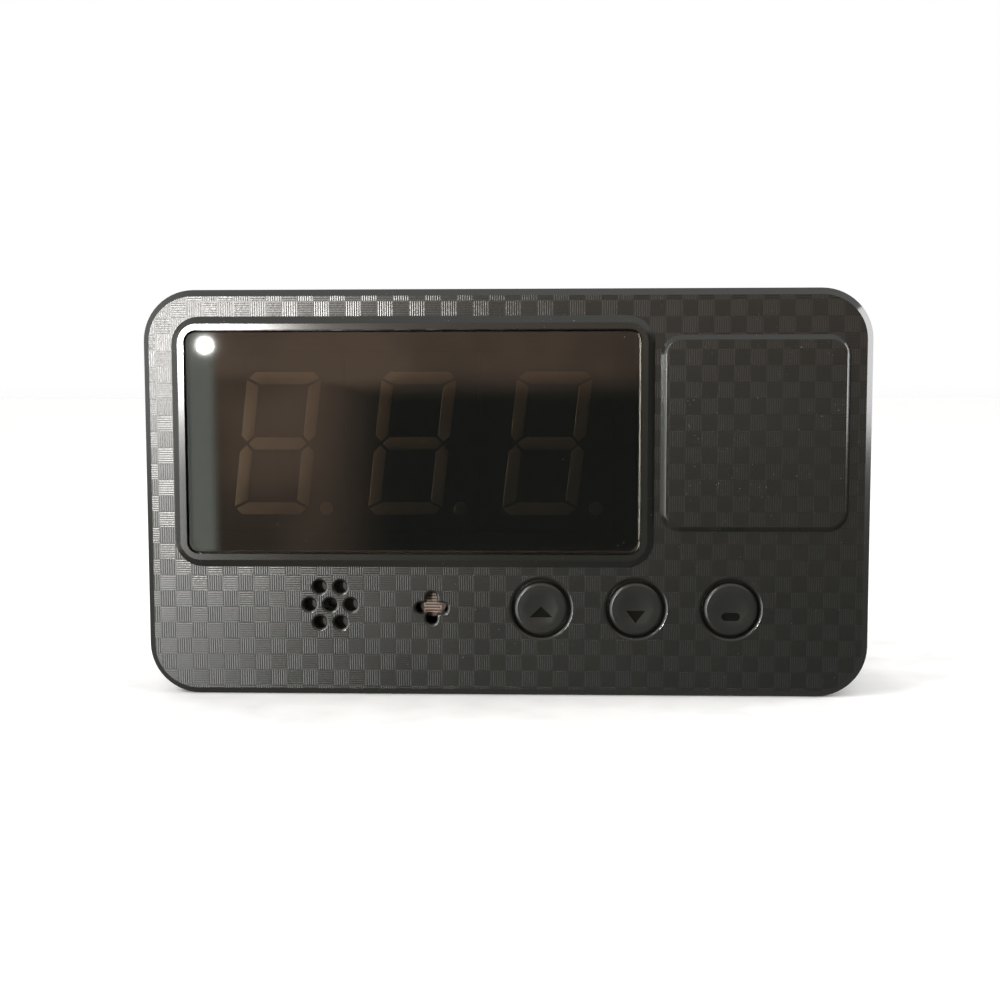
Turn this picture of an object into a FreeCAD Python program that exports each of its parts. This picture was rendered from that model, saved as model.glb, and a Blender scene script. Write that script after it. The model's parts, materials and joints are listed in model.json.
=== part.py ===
import FreeCAD
import Part
import Sketcher

import math
import os

# A small three-digit taxi meter for a dashboard, modelled in millimetres. X runs to the right and Z up.
# The display faces -Y, so depths are given as "forward", the distance towards the display: Y = -forward.
# The origin is at the middle of the meter's base, on the surface that it stands on.

# ---------------------------------------------------------------- driving dimensions

CELLS = {
    # Case
    "case_width": 128.0,
    "case_height": 72.0,
    "case_corner": 9.0,
    "half_depth": 13.5,
    "face_drop": 1.0,
    "case_wall": 2.0,
    "split_forward": -1.5,
    "face_chamfer": 1.2,
    "seam_chamfer": 0.3,
    "rear_round": 2.0,
    "lip_thickness": 0.95,
    "lip_height": 1.3,
    "lip_room": 1.5,
    # Display window, its raised frame and its lens
    "lens_x": -16.3,
    "lens_z": 45.2,
    "lens_width": 80.0,
    "lens_height": 39.2,
    "lens_corner": 2.0,
    "lens_thickness": 2.0,
    "lens_sunk": 0.15,
    "lens_gap": 0.15,
    "lens_edge": 0.3,
    "tape_thickness": 0.15,
    "tape_inset": 0.3,
    "tape_reach": 1.7,
    "tape_corner": 0.8,
    "rim_width": 1.25,
    "rim_corner": 3.5,
    "frame_slope": 1.25,
    "frame_corner": 5.0,
    "rim_round": 0.25,
    "window_width": 74.0,
    "window_height": 35.2,
    "window_corner": 1.0,
    "shroud_wall": 1.2,
    "shroud_depth": 5.0,
    # Raised badge pad to the right of the display
    "badge_x": 43.6,
    "badge_z": 46.7,
    "badge_width": 32.8,
    "badge_height": 34.4,
    "badge_corner": 3.6,
    "badge_slope": 0.85,
    "badge_rise": 0.8,
    "badge_round": 0.3,
    # Keys
    "key_x": 23.05,
    "key_z": 15.75,
    "key_pitch": 16.7,
    "key_hole": 5.1,
    "key_hole_round": 0.65,
    "cap_radius": 4.7,
    "cap_proud": 0.4,
    "cap_round": 0.55,
    "cap_dish": 3.4,
    "cap_dish_depth": 0.15,
    "flange_radius": 5.7,
    "flange_thickness": 1.0,
    "flange_gap": 0.2,
    "cap_foot": 2.6,
    "cap_tab_width": 2.0,
    "cap_tab_reach": 7.0,
    "tab_rib_gap": 0.3,
    "tab_rib_width": 0.8,
    "icon_depth": 0.35,
    "up_width": 4.0,
    "up_height": 1.9,
    "up_low": 1.5,
    "down_width": 3.3,
    "down_height": 2.2,
    "down_low": 2.5,
    "bar_length": 3.2,
    "bar_width": 1.4,
    "bar_low": 1.3,
    # Push switches under the keys
    "switch_side": 6.0,
    "switch_height": 3.3,
    "switch_floor": 0.8,
    "switch_well": 2.3,
    "switch_cover": 0.25,
    "plunger_height": 9.5,
    "plunger_radius": 1.75,
    "plunger_room": 0.1,
    "plunger_flange": 2.1,
    "plunger_flange_thickness": 0.5,
    "plunger_gap": 0.05,
    "plunger_nub": 0.8,
    "plunger_nub_length": 1.2,
    "dome_radius": 2.1,
    "dome_top": 0.9,
    "dome_rise": 0.35,
    "dome_sheet": 0.1,
    "switch_leg": 0.3,
    "switch_leg_width": 0.8,
    "switch_leg_spread": 2.25,
    "switch_leg_rise": 2.0,
    # Sound holes and buzzer
    "buzzer_x": -31.2,
    "buzzer_z": 16.25,
    "sound_hole": 1.1,
    "sound_pitch": 3.7,
    "hole_round": 0.45,
    "buzzer_radius": 6.0,
    "buzzer_height": 9.5,
    "buzzer_wall": 0.8,
    "buzzer_base": 1.2,
    "buzzer_port": 1.1,
    "buzzer_coil": 2.6,
    "buzzer_coil_height": 3.0,
    "buzzer_core": 1.0,
    "buzzer_ledge": 4.4,
    "diaphragm_sheet": 0.15,
    "diaphragm_weight": 1.5,
    "diaphragm_weight_height": 0.7,
    "buzzer_pin": 0.3,
    "buzzer_pin_spread": 3.8,
    # Light sensor behind its cross-shaped hole
    "sensor_x": -13.1,
    "sensor_z": 15.7,
    "sensor_lift": 0.5,
    "cross_span": 5.7,
    "cross_arm": 1.9,
    "sensor_forward": 9.4,
    "sensor_radius": 2.55,
    "sensor_thickness": 2.0,
    "track_length": 3.2,
    "track_width": 0.24,
    "track_pitch": 0.53,
    "track_sheet": 0.08,
    "sensor_lead": 0.25,
    "sensor_lead_spread": 1.7,
    # Digit modules
    "digit_x": -16.6,
    "digit_z": 44.9,
    "digit_pitch": 24.0,
    "digit_width": 23.9,
    "digit_height": 34.0,
    "digit_forward": 9.5,
    "glyph_width": 13.3,
    "glyph_height": 25.4,
    "glyph_slant": 6.5,
    "stroke": 2.2,
    "stroke_gap": 0.35,
    "stroke_depth": 6.0,
    "point_x": 8.6,
    "point_drop": 11.6,
    "point_radius": 1.2,
    "digit_pin": 0.26,
    "digit_pin_pitch": 2.54,
    "digit_pin_rows": 15.24,
    # Circuit board
    "board_forward": -1.0,
    "board_thickness": 1.6,
    "board_width": 121.0,
    "board_height": 65.0,
    "board_corner": 3.0,
    "board_notch": 4.4,
    "pin_reach": 1.0,
    "pin_room": 0.2,
    # Screws, their bosses and posts
    "boss_x": 57.6,
    "boss_reach": 29.9,
    "boss_radius": 2.8,
    "case_screw": 1.3,
    "case_screw_length": 13.5,
    "case_screw_head": 2.5,
    "case_screw_head_height": 1.8,
    "tube_radius": 3.7,
    "tube_hole": 1.6,
    "tube_sink": 2.75,
    "tube_sink_depth": 3.2,
    "post_radius": 2.5,
    "post_side_x": 57.3,
    "post_side_z": 45.0,
    "post_base_x": 50.0,
    "post_base_z": 8.0,
    "board_screw": 1.1,
    "board_screw_length": 6.5,
    "board_screw_head": 2.1,
    "board_screw_head_height": 1.5,
    "board_screw_hole": 1.3,
    "screw_slack": 0.02,
    "recess_length": 2.6,
    "recess_width": 0.6,
    "recess_depth": 1.0,
    # Rear cover: mounting inserts, vents, label
    "mount_z": 36.0,
    "mount_spread_x": 19.0,
    "mount_spread_z": 15.0,
    "insert_radius": 2.8,
    "insert_groove": 2.5,
    "insert_band": 2.2,
    "insert_bore": 1.65,
    "insert_length": 6.0,
    "insert_sunk": 0.1,
    "mount_boss": 4.3,
    "mount_boss_depth": 6.8,
    "vent_width": 1.8,
    "vent_height": 8.0,
    "vent_pitch": 4.2,
    "vent_top_z": 62.0,
    "vent_base_z": 10.0,
    "label_x": -42.0,
    "label_width": 28.0,
    "label_height": 36.0,
    "label_corner": 1.5,
    "label_recess": 0.3,
    "label_sheet": 0.15,
    "label_gap": 0.2,
    # Power and signal socket
    "socket_x": 42.0,
    "socket_z": 36.0,
    "socket_width": 15.4,
    "socket_height": 11.0,
    "socket_wall": 1.2,
    "socket_floor": 2.0,
    "socket_sunk": 0.5,
    "socket_gap": 0.3,
    "socket_corner": 0.8,
    "socket_pin": 1.0,
    "socket_pin_pitch": 4.2,
    "socket_pin_reach": 4.0,
    "socket_key_width": 3.0,
    # Parts on the back of the board
    "controller_side": 10.0,
    "controller_height": 1.4,
    "controller_x": -4.0,
    "controller_z": 38.0,
    "controller_leg_pitch": 0.8,
    "driver_width": 7.5,
    "driver_length": 15.4,
    "driver_height": 2.3,
    "driver_x": -34.0,
    "driver_z": 40.0,
    "driver_leg_pitch": 1.27,
    "leg_width": 0.35,
    "leg_sheet": 0.2,
    "leg_reach": 1.1,
    "regulator_width": 6.5,
    "regulator_length": 6.1,
    "regulator_height": 2.3,
    "regulator_x": 47.0,
    "regulator_z": 56.0,
    "regulator_tab_width": 5.3,
    "regulator_tab_reach": 1.2,
    "regulator_leg_width": 0.8,
    "regulator_leg_spread": 2.3,
    "regulator_leg_reach": 2.6,
    "coil_side": 7.0,
    "coil_height": 4.0,
    "coil_x": 35.0,
    "coil_z": 57.0,
    "coil_rim": 3.2,
    "coil_rim_depth": 0.6,
    "can_radius": 3.15,
    "can_height": 5.8,
    "can_base_side": 6.6,
    "can_base_height": 0.6,
    "can_x": 54.5,
    "can_z": 20.0,
    "can_pitch": 9.0,
    "crystal_width": 10.8,
    "crystal_depth": 4.4,
    "crystal_height": 3.4,
    "crystal_x": -4.0,
    "crystal_z": 26.0,
    "diode_width": 4.4,
    "diode_depth": 2.6,
    "diode_height": 2.2,
    "diode_x": 47.0,
    "diode_z": 25.0,
    "chip_length": 2.0,
    "chip_width": 1.25,
    "chip_height": 0.55,
    "chip_pitch": 2.6,
    "resistor_x": -43.0,
    "resistor_z": 27.0,
    "capacitor_x": 8.0,
    "capacitor_z": 32.0,
}

SHEET_NAME = "dims"
EDGE_TOLERANCE = 1e-4
FORWARD_PLANE = "XZ_Plane"
KEYS = ("up", "down", "set")
DIGITS = ("left", "middle", "right")
SOUND_RING_HOLES = 6
VENTS_IN_ROW = 13
TRACK_LINES = 7
DIGIT_PINS_IN_ROW = 5
CONTROLLER_LEGS_A_SIDE = 11
DRIVER_LEGS_A_SIDE = 12
RESISTORS = 8
CAPACITORS = 5
SIDES = (-1, 1)


class Size:
    """A length with both its number and the sheet expression that gives it."""

    def __init__(self, value, text):
        self.value = value
        self.text = text

    def _joined(self, other, sign, value):
        return Size(value, f"({self.text} {sign} {as_size(other).text})")

    def __add__(self, other):
        return self._joined(other, "+", self.value + as_size(other).value)

    def __sub__(self, other):
        return self._joined(other, "-", self.value - as_size(other).value)

    def __mul__(self, other):
        return self._joined(other, "*", self.value * as_size(other).value)

    def __truediv__(self, other):
        return self._joined(other, "/", self.value / as_size(other).value)

    def __rmul__(self, other):
        return as_size(other) * self

    def __neg__(self):
        return as_size(0) - self


def as_size(number):
    """The number as a Size, or the Size unchanged."""
    return number if isinstance(number, Size) else Size(float(number), repr(float(number)))


def cell(alias):
    """The driving dimension of that name."""
    return Size(CELLS[alias], f"{SHEET_NAME}.{alias}")


def bind(item, prop, size):
    """Ties a property of a document object to the sheet."""
    item.setExpression(prop, as_size(size).text)


doc = FreeCAD.newDocument("taxi_meter")
nodes = {}


def make_sheet():
    """Writes the driving dimensions to the spreadsheet."""
    sheet = doc.addObject("Spreadsheet::Sheet", SHEET_NAME)
    for row, (alias, value) in enumerate(CELLS.items(), start=1):
        sheet.set(f"A{row}", alias)
        sheet.set(f"B{row}", str(value))
        sheet.setAlias(f"B{row}", alias)
    doc.recompute()


def keep(item, label):
    """Names a finished sub-part, which is then exported."""
    item.Label = label
    nodes[label] = item
    return item


# ---------------------------------------------------------------- levels, as forward distances

FACE = cell("half_depth") - cell("face_drop")
RIM = cell("half_depth")
REAR = -cell("half_depth")
WALL_INSIDE = FACE - cell("case_wall")
SPLIT = cell("split_forward")
BOARD = cell("board_forward")
BOARD_BACK = BOARD - cell("board_thickness")
PIN_ENDS = BOARD_BACK - cell("pin_reach")
MIDDLE = cell("case_height") / 2


# ---------------------------------------------------------------- primitives

def name_for(kind):
    """A fresh object name of that kind."""
    return f"{kind}_{len(doc.Objects)}"


def place(item, x, forward, z):
    """Ties an object's position to the sheet."""
    bind(item, "Placement.Base.x", x)
    bind(item, "Placement.Base.y", -as_size(forward))
    bind(item, "Placement.Base.z", z)


def block(x, z, front, width, height, depth):
    """A box centred on x and z, from the forward distance front back by depth."""
    item = doc.addObject("Part::Box", name_for("block"))
    bind(item, "Length", width)
    bind(item, "Width", depth)
    bind(item, "Height", height)
    place(item, as_size(x) - as_size(width) / 2, front, as_size(z) - as_size(height) / 2)
    return item


def turned_back(item):
    """Turns a primitive's own axis from +Z to +Y, towards the rear cover."""
    item.Placement = FreeCAD.Placement(FreeCAD.Vector(), FreeCAD.Rotation(FreeCAD.Vector(1, 0, 0), -90))


def rod(x, z, front, radius, depth):
    """A cylinder along Y, from the forward distance front back by depth."""
    item = doc.addObject("Part::Cylinder", name_for("rod"))
    turned_back(item)
    bind(item, "Radius", radius)
    bind(item, "Height", depth)
    place(item, x, front, z)
    return item


def cone(x, z, front, front_radius, back_radius, depth):
    """A cone frustum along Y, from the forward distance front back by depth."""
    item = doc.addObject("Part::Cone", name_for("cone"))
    turned_back(item)
    bind(item, "Radius1", front_radius)
    bind(item, "Radius2", back_radius)
    bind(item, "Height", depth)
    place(item, x, front, z)
    return item


def join(parts):
    """One solid from several that touch or overlap."""
    item = doc.addObject("Part::MultiFuse", name_for("join"))
    item.Shapes = parts
    item.Refine = True
    return item


def group(parts):
    """Several separate solids as one object."""
    item = doc.addObject("Part::Compound", name_for("group"))
    item.Links = parts
    return item


def cut(base, tool):
    """The base less the tool."""
    item = doc.addObject("Part::Cut", name_for("cut"))
    item.Base = base
    item.Tool = tool
    return item


# ---------------------------------------------------------------- bodies and sketches

def new_body(label):
    """An empty body that becomes the node of that name."""
    return keep(doc.addObject("PartDesign::Body", f"{label}_body"), label)


def new_sketch(body, x, z, forward):
    """A sketch across the meter's depth, with its own origin at x, z and that forward distance."""
    sketch = body.newObject("Sketcher::SketchObject", name_for("sketch"))
    plane = next(f for f in body.Origin.OriginFeatures if f.Role == FORWARD_PLANE)
    sketch.AttachmentSupport = [(plane, "")]
    sketch.MapMode = "FlatFace"
    bind(sketch, "AttachmentOffset.Base.x", x)
    bind(sketch, "AttachmentOffset.Base.y", z)
    bind(sketch, "AttachmentOffset.Base.z", forward)
    return sketch


def dimension(sketch, constraint, size):
    """Adds a dimensional constraint that the sheet drives."""
    index = sketch.addConstraint(constraint)
    sketch.setExpression(f"Constraints[{index}]", as_size(size).text)


def fix_point(sketch, geometry, point, x, z):
    """Holds a point at x and z from the sketch's origin."""
    for kind, size in (("DistanceX", as_size(x)), ("DistanceY", as_size(z))):
        if abs(size.value) < EDGE_TOLERANCE:
            axis = -2 if kind == "DistanceX" else -1
            sketch.addConstraint(Sketcher.Constraint("PointOnObject", geometry, point, axis))
        elif size.value > 0:
            dimension(sketch, Sketcher.Constraint(kind, -1, 1, geometry, point, size.value), size)
        else:
            dimension(sketch, Sketcher.Constraint(kind, geometry, point, -1, 1, -size.value), -size)


def draw_circle(sketch, x, z, radius):
    """A circle at x and z."""
    centre = FreeCAD.Vector(as_size(x).value, as_size(z).value, 0)
    circle = sketch.addGeometry(Part.Circle(centre, FreeCAD.Vector(0, 0, 1), as_size(radius).value))
    fix_point(sketch, circle, 3, x, z)
    dimension(sketch, Sketcher.Constraint("Radius", circle, as_size(radius).value), radius)


def draw_rounded_rectangle(sketch, width, height, radius):
    """A rectangle with round corners, centred on the sketch's origin."""
    width, height, radius = as_size(width), as_size(height), as_size(radius)
    half_w, half_h, r = width.value / 2, height.value / 2, radius.value
    corners = ((1, 1, 0), (-1, 1, 90), (-1, -1, 180), (1, -1, 270))
    arcs = []
    for side_x, side_z, start in corners:
        centre = FreeCAD.Vector(side_x * (half_w - r), side_z * (half_h - r), 0)
        circle = Part.Circle(centre, FreeCAD.Vector(0, 0, 1), r)
        arc = Part.ArcOfCircle(circle, math.radians(start), math.radians(start + 90))
        arcs.append(sketch.addGeometry(arc))
    lines = []
    for i, arc in enumerate(arcs):
        after = arcs[(i + 1) % len(arcs)]
        line = Part.LineSegment(sketch.Geometry[arc].EndPoint, sketch.Geometry[after].StartPoint)
        lines.append(sketch.addGeometry(line))
    for i, line in enumerate(lines):
        sketch.addConstraint(Sketcher.Constraint("Tangent", arcs[i], 2, line, 1))
        sketch.addConstraint(Sketcher.Constraint("Tangent", line, 2, arcs[(i + 1) % len(arcs)], 1))
        level = "Horizontal" if i % 2 == 0 else "Vertical"
        sketch.addConstraint(Sketcher.Constraint(level, line))
    for arc in arcs[1:]:
        sketch.addConstraint(Sketcher.Constraint("Equal", arcs[0], arc))
    dimension(sketch, Sketcher.Constraint("Radius", arcs[0], r), radius)
    top, left, base, right = lines
    dimension(sketch, Sketcher.Constraint("DistanceX", -1, 1, right, 1, half_w), width / 2)
    dimension(sketch, Sketcher.Constraint("DistanceX", left, 1, -1, 1, half_w), width / 2)
    dimension(sketch, Sketcher.Constraint("DistanceY", -1, 1, top, 1, half_h), height / 2)
    dimension(sketch, Sketcher.Constraint("DistanceY", base, 1, -1, 1, half_h), height / 2)


def rounded_outline(body, x, z, forward, width, height, radius):
    """A sketch that holds one rounded rectangle."""
    sketch = new_sketch(body, x, z, forward)
    draw_rounded_rectangle(sketch, width, height, radius)
    return sketch


def ring_outline(body, x, z, forward, outer, inner):
    """A sketch of the band between two rounded rectangles, each (width, height, radius)."""
    sketch = new_sketch(body, x, z, forward)
    draw_rounded_rectangle(sketch, *outer)
    draw_rounded_rectangle(sketch, *inner)
    return sketch


def circles(body, places, forward, radius):
    """A sketch of equal circles at those (x, z) places."""
    sketch = new_sketch(body, 0, 0, forward)
    for x, z in places:
        draw_circle(sketch, x, z, radius)
    return sketch


def extrude(kind, body, sketch, length):
    """A Pad runs forward from its sketch, and a Pocket cuts backward from it."""
    feature = body.newObject(f"PartDesign::{kind}", name_for(kind.lower()))
    feature.Profile = sketch
    bind(feature, "Length", length)
    sketch.Visibility = False
    before = body.Shape.Volume if kind == "Pocket" else 0
    doc.recompute()
    if kind == "Pocket" and feature.Shape.Volume >= before - EDGE_TOLERANCE:
        raise RuntimeError(f"{body.Label}: {feature.Name} cut nothing")
    return feature


def pad(body, sketch, length):
    return extrude("Pad", body, sketch, length)


def pocket(body, sketch, length):
    return extrude("Pocket", body, sketch, length)


def loft(body, lower, upper):
    """A ruled solid between two outlines."""
    feature = body.newObject("PartDesign::AdditiveLoft", name_for("loft"))
    feature.Profile = lower
    feature.Sections = [upper]
    feature.Ruled = True
    doc.recompute()
    return feature


def dress(kind, body, feature, size, wanted):
    """A Fillet or Chamfer on the edges of the feature that the test wants."""
    names = [f"Edge{i}" for i, edge in enumerate(feature.Shape.Edges, start=1) if wanted(edge)]
    if not names:
        raise RuntimeError(f"{body.Label}: no edge to dress on {feature.Name}")
    item = body.newObject(f"PartDesign::{kind}", name_for(kind.lower()))
    item.Base = (feature, names)
    bind(item, "Radius" if kind == "Fillet" else "Size", size)
    doc.recompute()
    return item


def lies_at(edge, forward):
    """Whether the whole edge lies at that forward distance."""
    box = edge.BoundBox
    y = -forward.value
    return abs(box.YMin - y) < EDGE_TOLERANCE and abs(box.YMax - y) < EDGE_TOLERANCE


def within(edge, x, z, reach_x, reach_z):
    """Whether the edge lies inside a rectangle about x and z."""
    box = edge.BoundBox
    near_x = box.XMin > x - reach_x and box.XMax < x + reach_x
    return near_x and box.ZMin > z - reach_z and box.ZMax < z + reach_z


# ---------------------------------------------------------------- places that several parts share

def around_middle(x, reach):
    """Four places, x to each side and reach above and below the middle of the case."""
    return [(side_x * x, MIDDLE + side_z * reach) for side_x in SIDES for side_z in SIDES]


def key_places():
    """The centres of the three keys, from left to right."""
    return [(cell("key_x") + i * cell("key_pitch"), cell("key_z")) for i in (-1, 0, 1)]


def digit_places():
    """The centres of the three digit modules."""
    return [(cell("digit_x") + i * cell("digit_pitch"), cell("digit_z")) for i in (-1, 0, 1)]


def boss_places():
    return around_middle(cell("boss_x"), cell("boss_reach"))


def post_places():
    """The four screw posts that hold the board."""
    side = [(s * cell("post_side_x"), cell("post_side_z")) for s in SIDES]
    base = [(s * cell("post_base_x"), cell("post_base_z")) for s in SIDES]
    return side + base


def mount_places():
    spread_x, spread_z = cell("mount_spread_x"), cell("mount_spread_z")
    return [(sx * spread_x, cell("mount_z") + sz * spread_z) for sx in SIDES for sz in SIDES]


def digit_pin_places(x, z):
    """Ten pins, five above and five below the digit."""
    first = -(DIGIT_PINS_IN_ROW - 1) / 2
    columns = [x + (first + i) * cell("digit_pin_pitch") for i in range(DIGIT_PINS_IN_ROW)]
    return [(column, z + side * cell("digit_pin_rows")) for side in SIDES for column in columns]


def switch_leg_places(x, z):
    """The four legs of one push switch, just outside its base."""
    reach = (cell("switch_side") + cell("switch_leg")) / 2
    return [(x + sx * reach, z + sz * cell("switch_leg_spread")) for sx in SIDES for sz in SIDES]


def buzzer_pin_places():
    return [(cell("buzzer_x") + s * cell("buzzer_pin_spread"), cell("buzzer_z")) for s in SIDES]


def sensor_lead_places():
    z = cell("sensor_z") + cell("sensor_lift")
    return [(cell("sensor_x") + s * cell("sensor_lead_spread"), z) for s in SIDES]


def socket_pin_places():
    """Six contacts in two rows of three."""
    pitch = cell("socket_pin_pitch")
    columns = [cell("socket_x") + i * pitch for i in (-1, 0, 1)]
    return [(column, cell("socket_z") + side * pitch / 2) for side in SIDES for column in columns]


def sound_places():
    """One sound hole with six around it."""
    x, z, pitch = cell("buzzer_x"), cell("buzzer_z"), cell("sound_pitch")
    ring = []
    for i in range(SOUND_RING_HOLES):
        angle = 2 * math.pi * i / SOUND_RING_HOLES
        ring.append((x + round(math.cos(angle), 6) * pitch, z + round(math.sin(angle), 6) * pitch))
    return [(x, z)] + ring


# ---------------------------------------------------------------- case

def case_outline(body, forward, inset):
    """The case's outline, taken in by inset all round."""
    return rounded_outline(
        body, 0, MIDDLE, forward,
        cell("case_width") - 2 * inset, cell("case_height") - 2 * inset, cell("case_corner") - inset,
    )


def case_band(body, forward, outer_inset, inner_inset):
    """The band between two insets of the case's outline."""
    sizes = [
        (cell("case_width") - 2 * inset, cell("case_height") - 2 * inset, cell("case_corner") - inset)
        for inset in (outer_inset, inner_inset)
    ]
    return ring_outline(body, 0, MIDDLE, forward, *sizes)


def raise_display_frame(body):
    """The sloped frame that stands up round the display window."""
    x, z = cell("lens_x"), cell("lens_z")
    rim_w = cell("lens_width") + 2 * cell("rim_width")
    rim_h = cell("lens_height") + 2 * cell("rim_width")
    slope = cell("frame_slope")
    lower = rounded_outline(body, x, z, FACE, rim_w + 2 * slope, rim_h + 2 * slope, cell("frame_corner"))
    upper = rounded_outline(body, x, z, RIM, rim_w, rim_h, cell("rim_corner"))
    frame = loft(body, lower, upper)
    return dress("Fillet", body, frame, cell("rim_round"), lambda edge: lies_at(edge, RIM))


def raise_badge_pad(body):
    """The raised square pad to the right of the display."""
    x, z = cell("badge_x"), cell("badge_z")
    width, height, slope = cell("badge_width"), cell("badge_height"), cell("badge_slope")
    top = FACE + cell("badge_rise")
    corner = cell("badge_corner")
    lower = rounded_outline(body, x, z, FACE, width, height, corner)
    upper = rounded_outline(body, x, z, top, width - 2 * slope, height - 2 * slope, corner - slope)
    raised = loft(body, lower, upper)
    return dress("Fillet", body, raised, cell("badge_round"), lambda edge: lies_at(edge, top))


def open_window(body):
    """The seat for the lens, the window behind it and the light shroud round the digits."""
    x, z, gap = cell("lens_x"), cell("lens_z"), cell("lens_gap")
    seat = rounded_outline(
        body, x, z, RIM,
        cell("lens_width") + 2 * gap, cell("lens_height") + 2 * gap, cell("lens_corner") + gap,
    )
    pocket(body, seat, cell("lens_sunk") + cell("lens_thickness") + cell("tape_thickness"))
    opening = (cell("window_width"), cell("window_height"), cell("window_corner"))
    window = rounded_outline(body, x, z, RIM, *opening)
    pocket(body, window, RIM - WALL_INSIDE)
    wall = cell("shroud_wall")
    outer = (cell("window_width") + 2 * wall, cell("window_height") + 2 * wall, cell("window_corner") + wall)
    start = WALL_INSIDE - cell("shroud_depth")
    pad(body, ring_outline(body, x, z, start, outer, opening), cell("shroud_depth"))


def pierce_face(body):
    """The key holes, sound holes and sensor cross, each with a rounded mouth."""
    key_z, wall = cell("key_z").value, cell("case_wall")
    holes = pocket(body, circles(body, key_places(), FACE, cell("key_hole")), wall)
    reach_x = (cell("key_pitch") + cell("key_hole")).value + 1
    reach_z = cell("key_hole").value + 1
    key_x = cell("key_x").value
    dress("Fillet", body, holes, cell("key_hole_round"),
          lambda edge: lies_at(edge, FACE) and within(edge, key_x, key_z, reach_x, reach_z))

    holes = pocket(body, circles(body, sound_places(), FACE, cell("sound_hole")), wall)
    x, z = cell("buzzer_x").value, cell("buzzer_z").value
    reach = (cell("sound_pitch") + cell("sound_hole")).value + 1
    dress("Fillet", body, holes, cell("hole_round"),
          lambda edge: lies_at(edge, FACE) and within(edge, x, z, reach, reach))

    span, arm = cell("cross_span"), cell("cross_arm")
    corner = arm / 2 - 0.01
    for width, height in ((span, arm), (arm, span)):
        slot = rounded_outline(body, cell("sensor_x"), cell("sensor_z"), FACE, width, height, corner)
        holes = pocket(body, slot, wall)
    x, z, reach = cell("sensor_x").value, cell("sensor_z").value, span.value / 2 + 1
    dress("Fillet", body, holes, cell("hole_round"),
          lambda edge: lies_at(edge, FACE) and within(edge, x, z, reach, reach))


def add_case_posts(body):
    """Screw bosses at the corners, posts for the board, and the ribs that stop the keys turning."""
    pad(body, circles(body, boss_places(), SPLIT, cell("boss_radius")), WALL_INSIDE - SPLIT)
    pad(body, circles(body, post_places(), BOARD, cell("post_radius")), WALL_INSIDE - BOARD)
    slack = cell("screw_slack")
    depth = cell("case_screw_length") - (SPLIT - screw_seat()) + 1
    pocket(body, circles(body, boss_places(), SPLIT + depth, cell("case_screw") + slack), depth)
    depth = cell("board_screw_length") - cell("board_thickness") + 1
    pocket(body, circles(body, post_places(), BOARD + depth, cell("board_screw") + slack), depth)

    rib = cell("tab_rib_width")
    offset = cell("cap_tab_width") / 2 + cell("tab_rib_gap") + rib / 2
    height = cell("cap_tab_reach") - cell("flange_radius")
    z = cell("key_z") - cell("flange_radius") - cell("tab_rib_gap") - height / 2
    depth = cell("flange_gap") + cell("flange_thickness")
    for key_x, _ in key_places():
        for side in SIDES:
            sketch = rounded_outline(body, key_x + side * offset, z, WALL_INSIDE - depth, rib, height, 0.2)
            pad(body, sketch, depth)


def make_front_case():
    """The front half of the case, with the display window and the keys' holes."""
    body = new_body("front_case")
    block_feature = pad(body, case_outline(body, SPLIT, as_size(0)), FACE - SPLIT)
    edged = dress("Chamfer", body, block_feature, cell("face_chamfer"), lambda edge: lies_at(edge, FACE))
    dress("Chamfer", body, edged, cell("seam_chamfer"), lambda edge: lies_at(edge, SPLIT))
    raise_display_frame(body)
    raise_badge_pad(body)
    pocket(body, case_outline(body, WALL_INSIDE, cell("case_wall")), WALL_INSIDE - SPLIT)
    open_window(body)
    add_case_posts(body)
    pierce_face(body)
    room = cell("lip_room")
    pocket(body, case_band(body, SPLIT + room, cell("case_wall") / 2, cell("case_wall")), room)


def screw_seat():
    """The forward distance of the floor that a case screw's head pulls on."""
    return REAR + cell("tube_sink_depth")


def cut_vents(body):
    """Two rows of upright cooling slots through the rear wall."""
    first_x = -(VENTS_IN_ROW - 1) / 2 * cell("vent_pitch")
    width = cell("vent_width")
    for z in (cell("vent_top_z"), cell("vent_base_z")):
        start = REAR + cell("case_wall")
        sketch = rounded_outline(body, first_x, z, start, width, cell("vent_height"), width / 2 - 0.01)
        slot = pocket(body, sketch, cell("case_wall"))
        row = body.newObject("PartDesign::LinearPattern", name_for("vents"))
        row.Originals = [slot]
        row.Direction = (sketch, ["H_Axis"])
        bind(row, "Length", (VENTS_IN_ROW - 1) * cell("vent_pitch"))
        row.Occurrences = VENTS_IN_ROW
        body.Tip = row
        doc.recompute()


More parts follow.
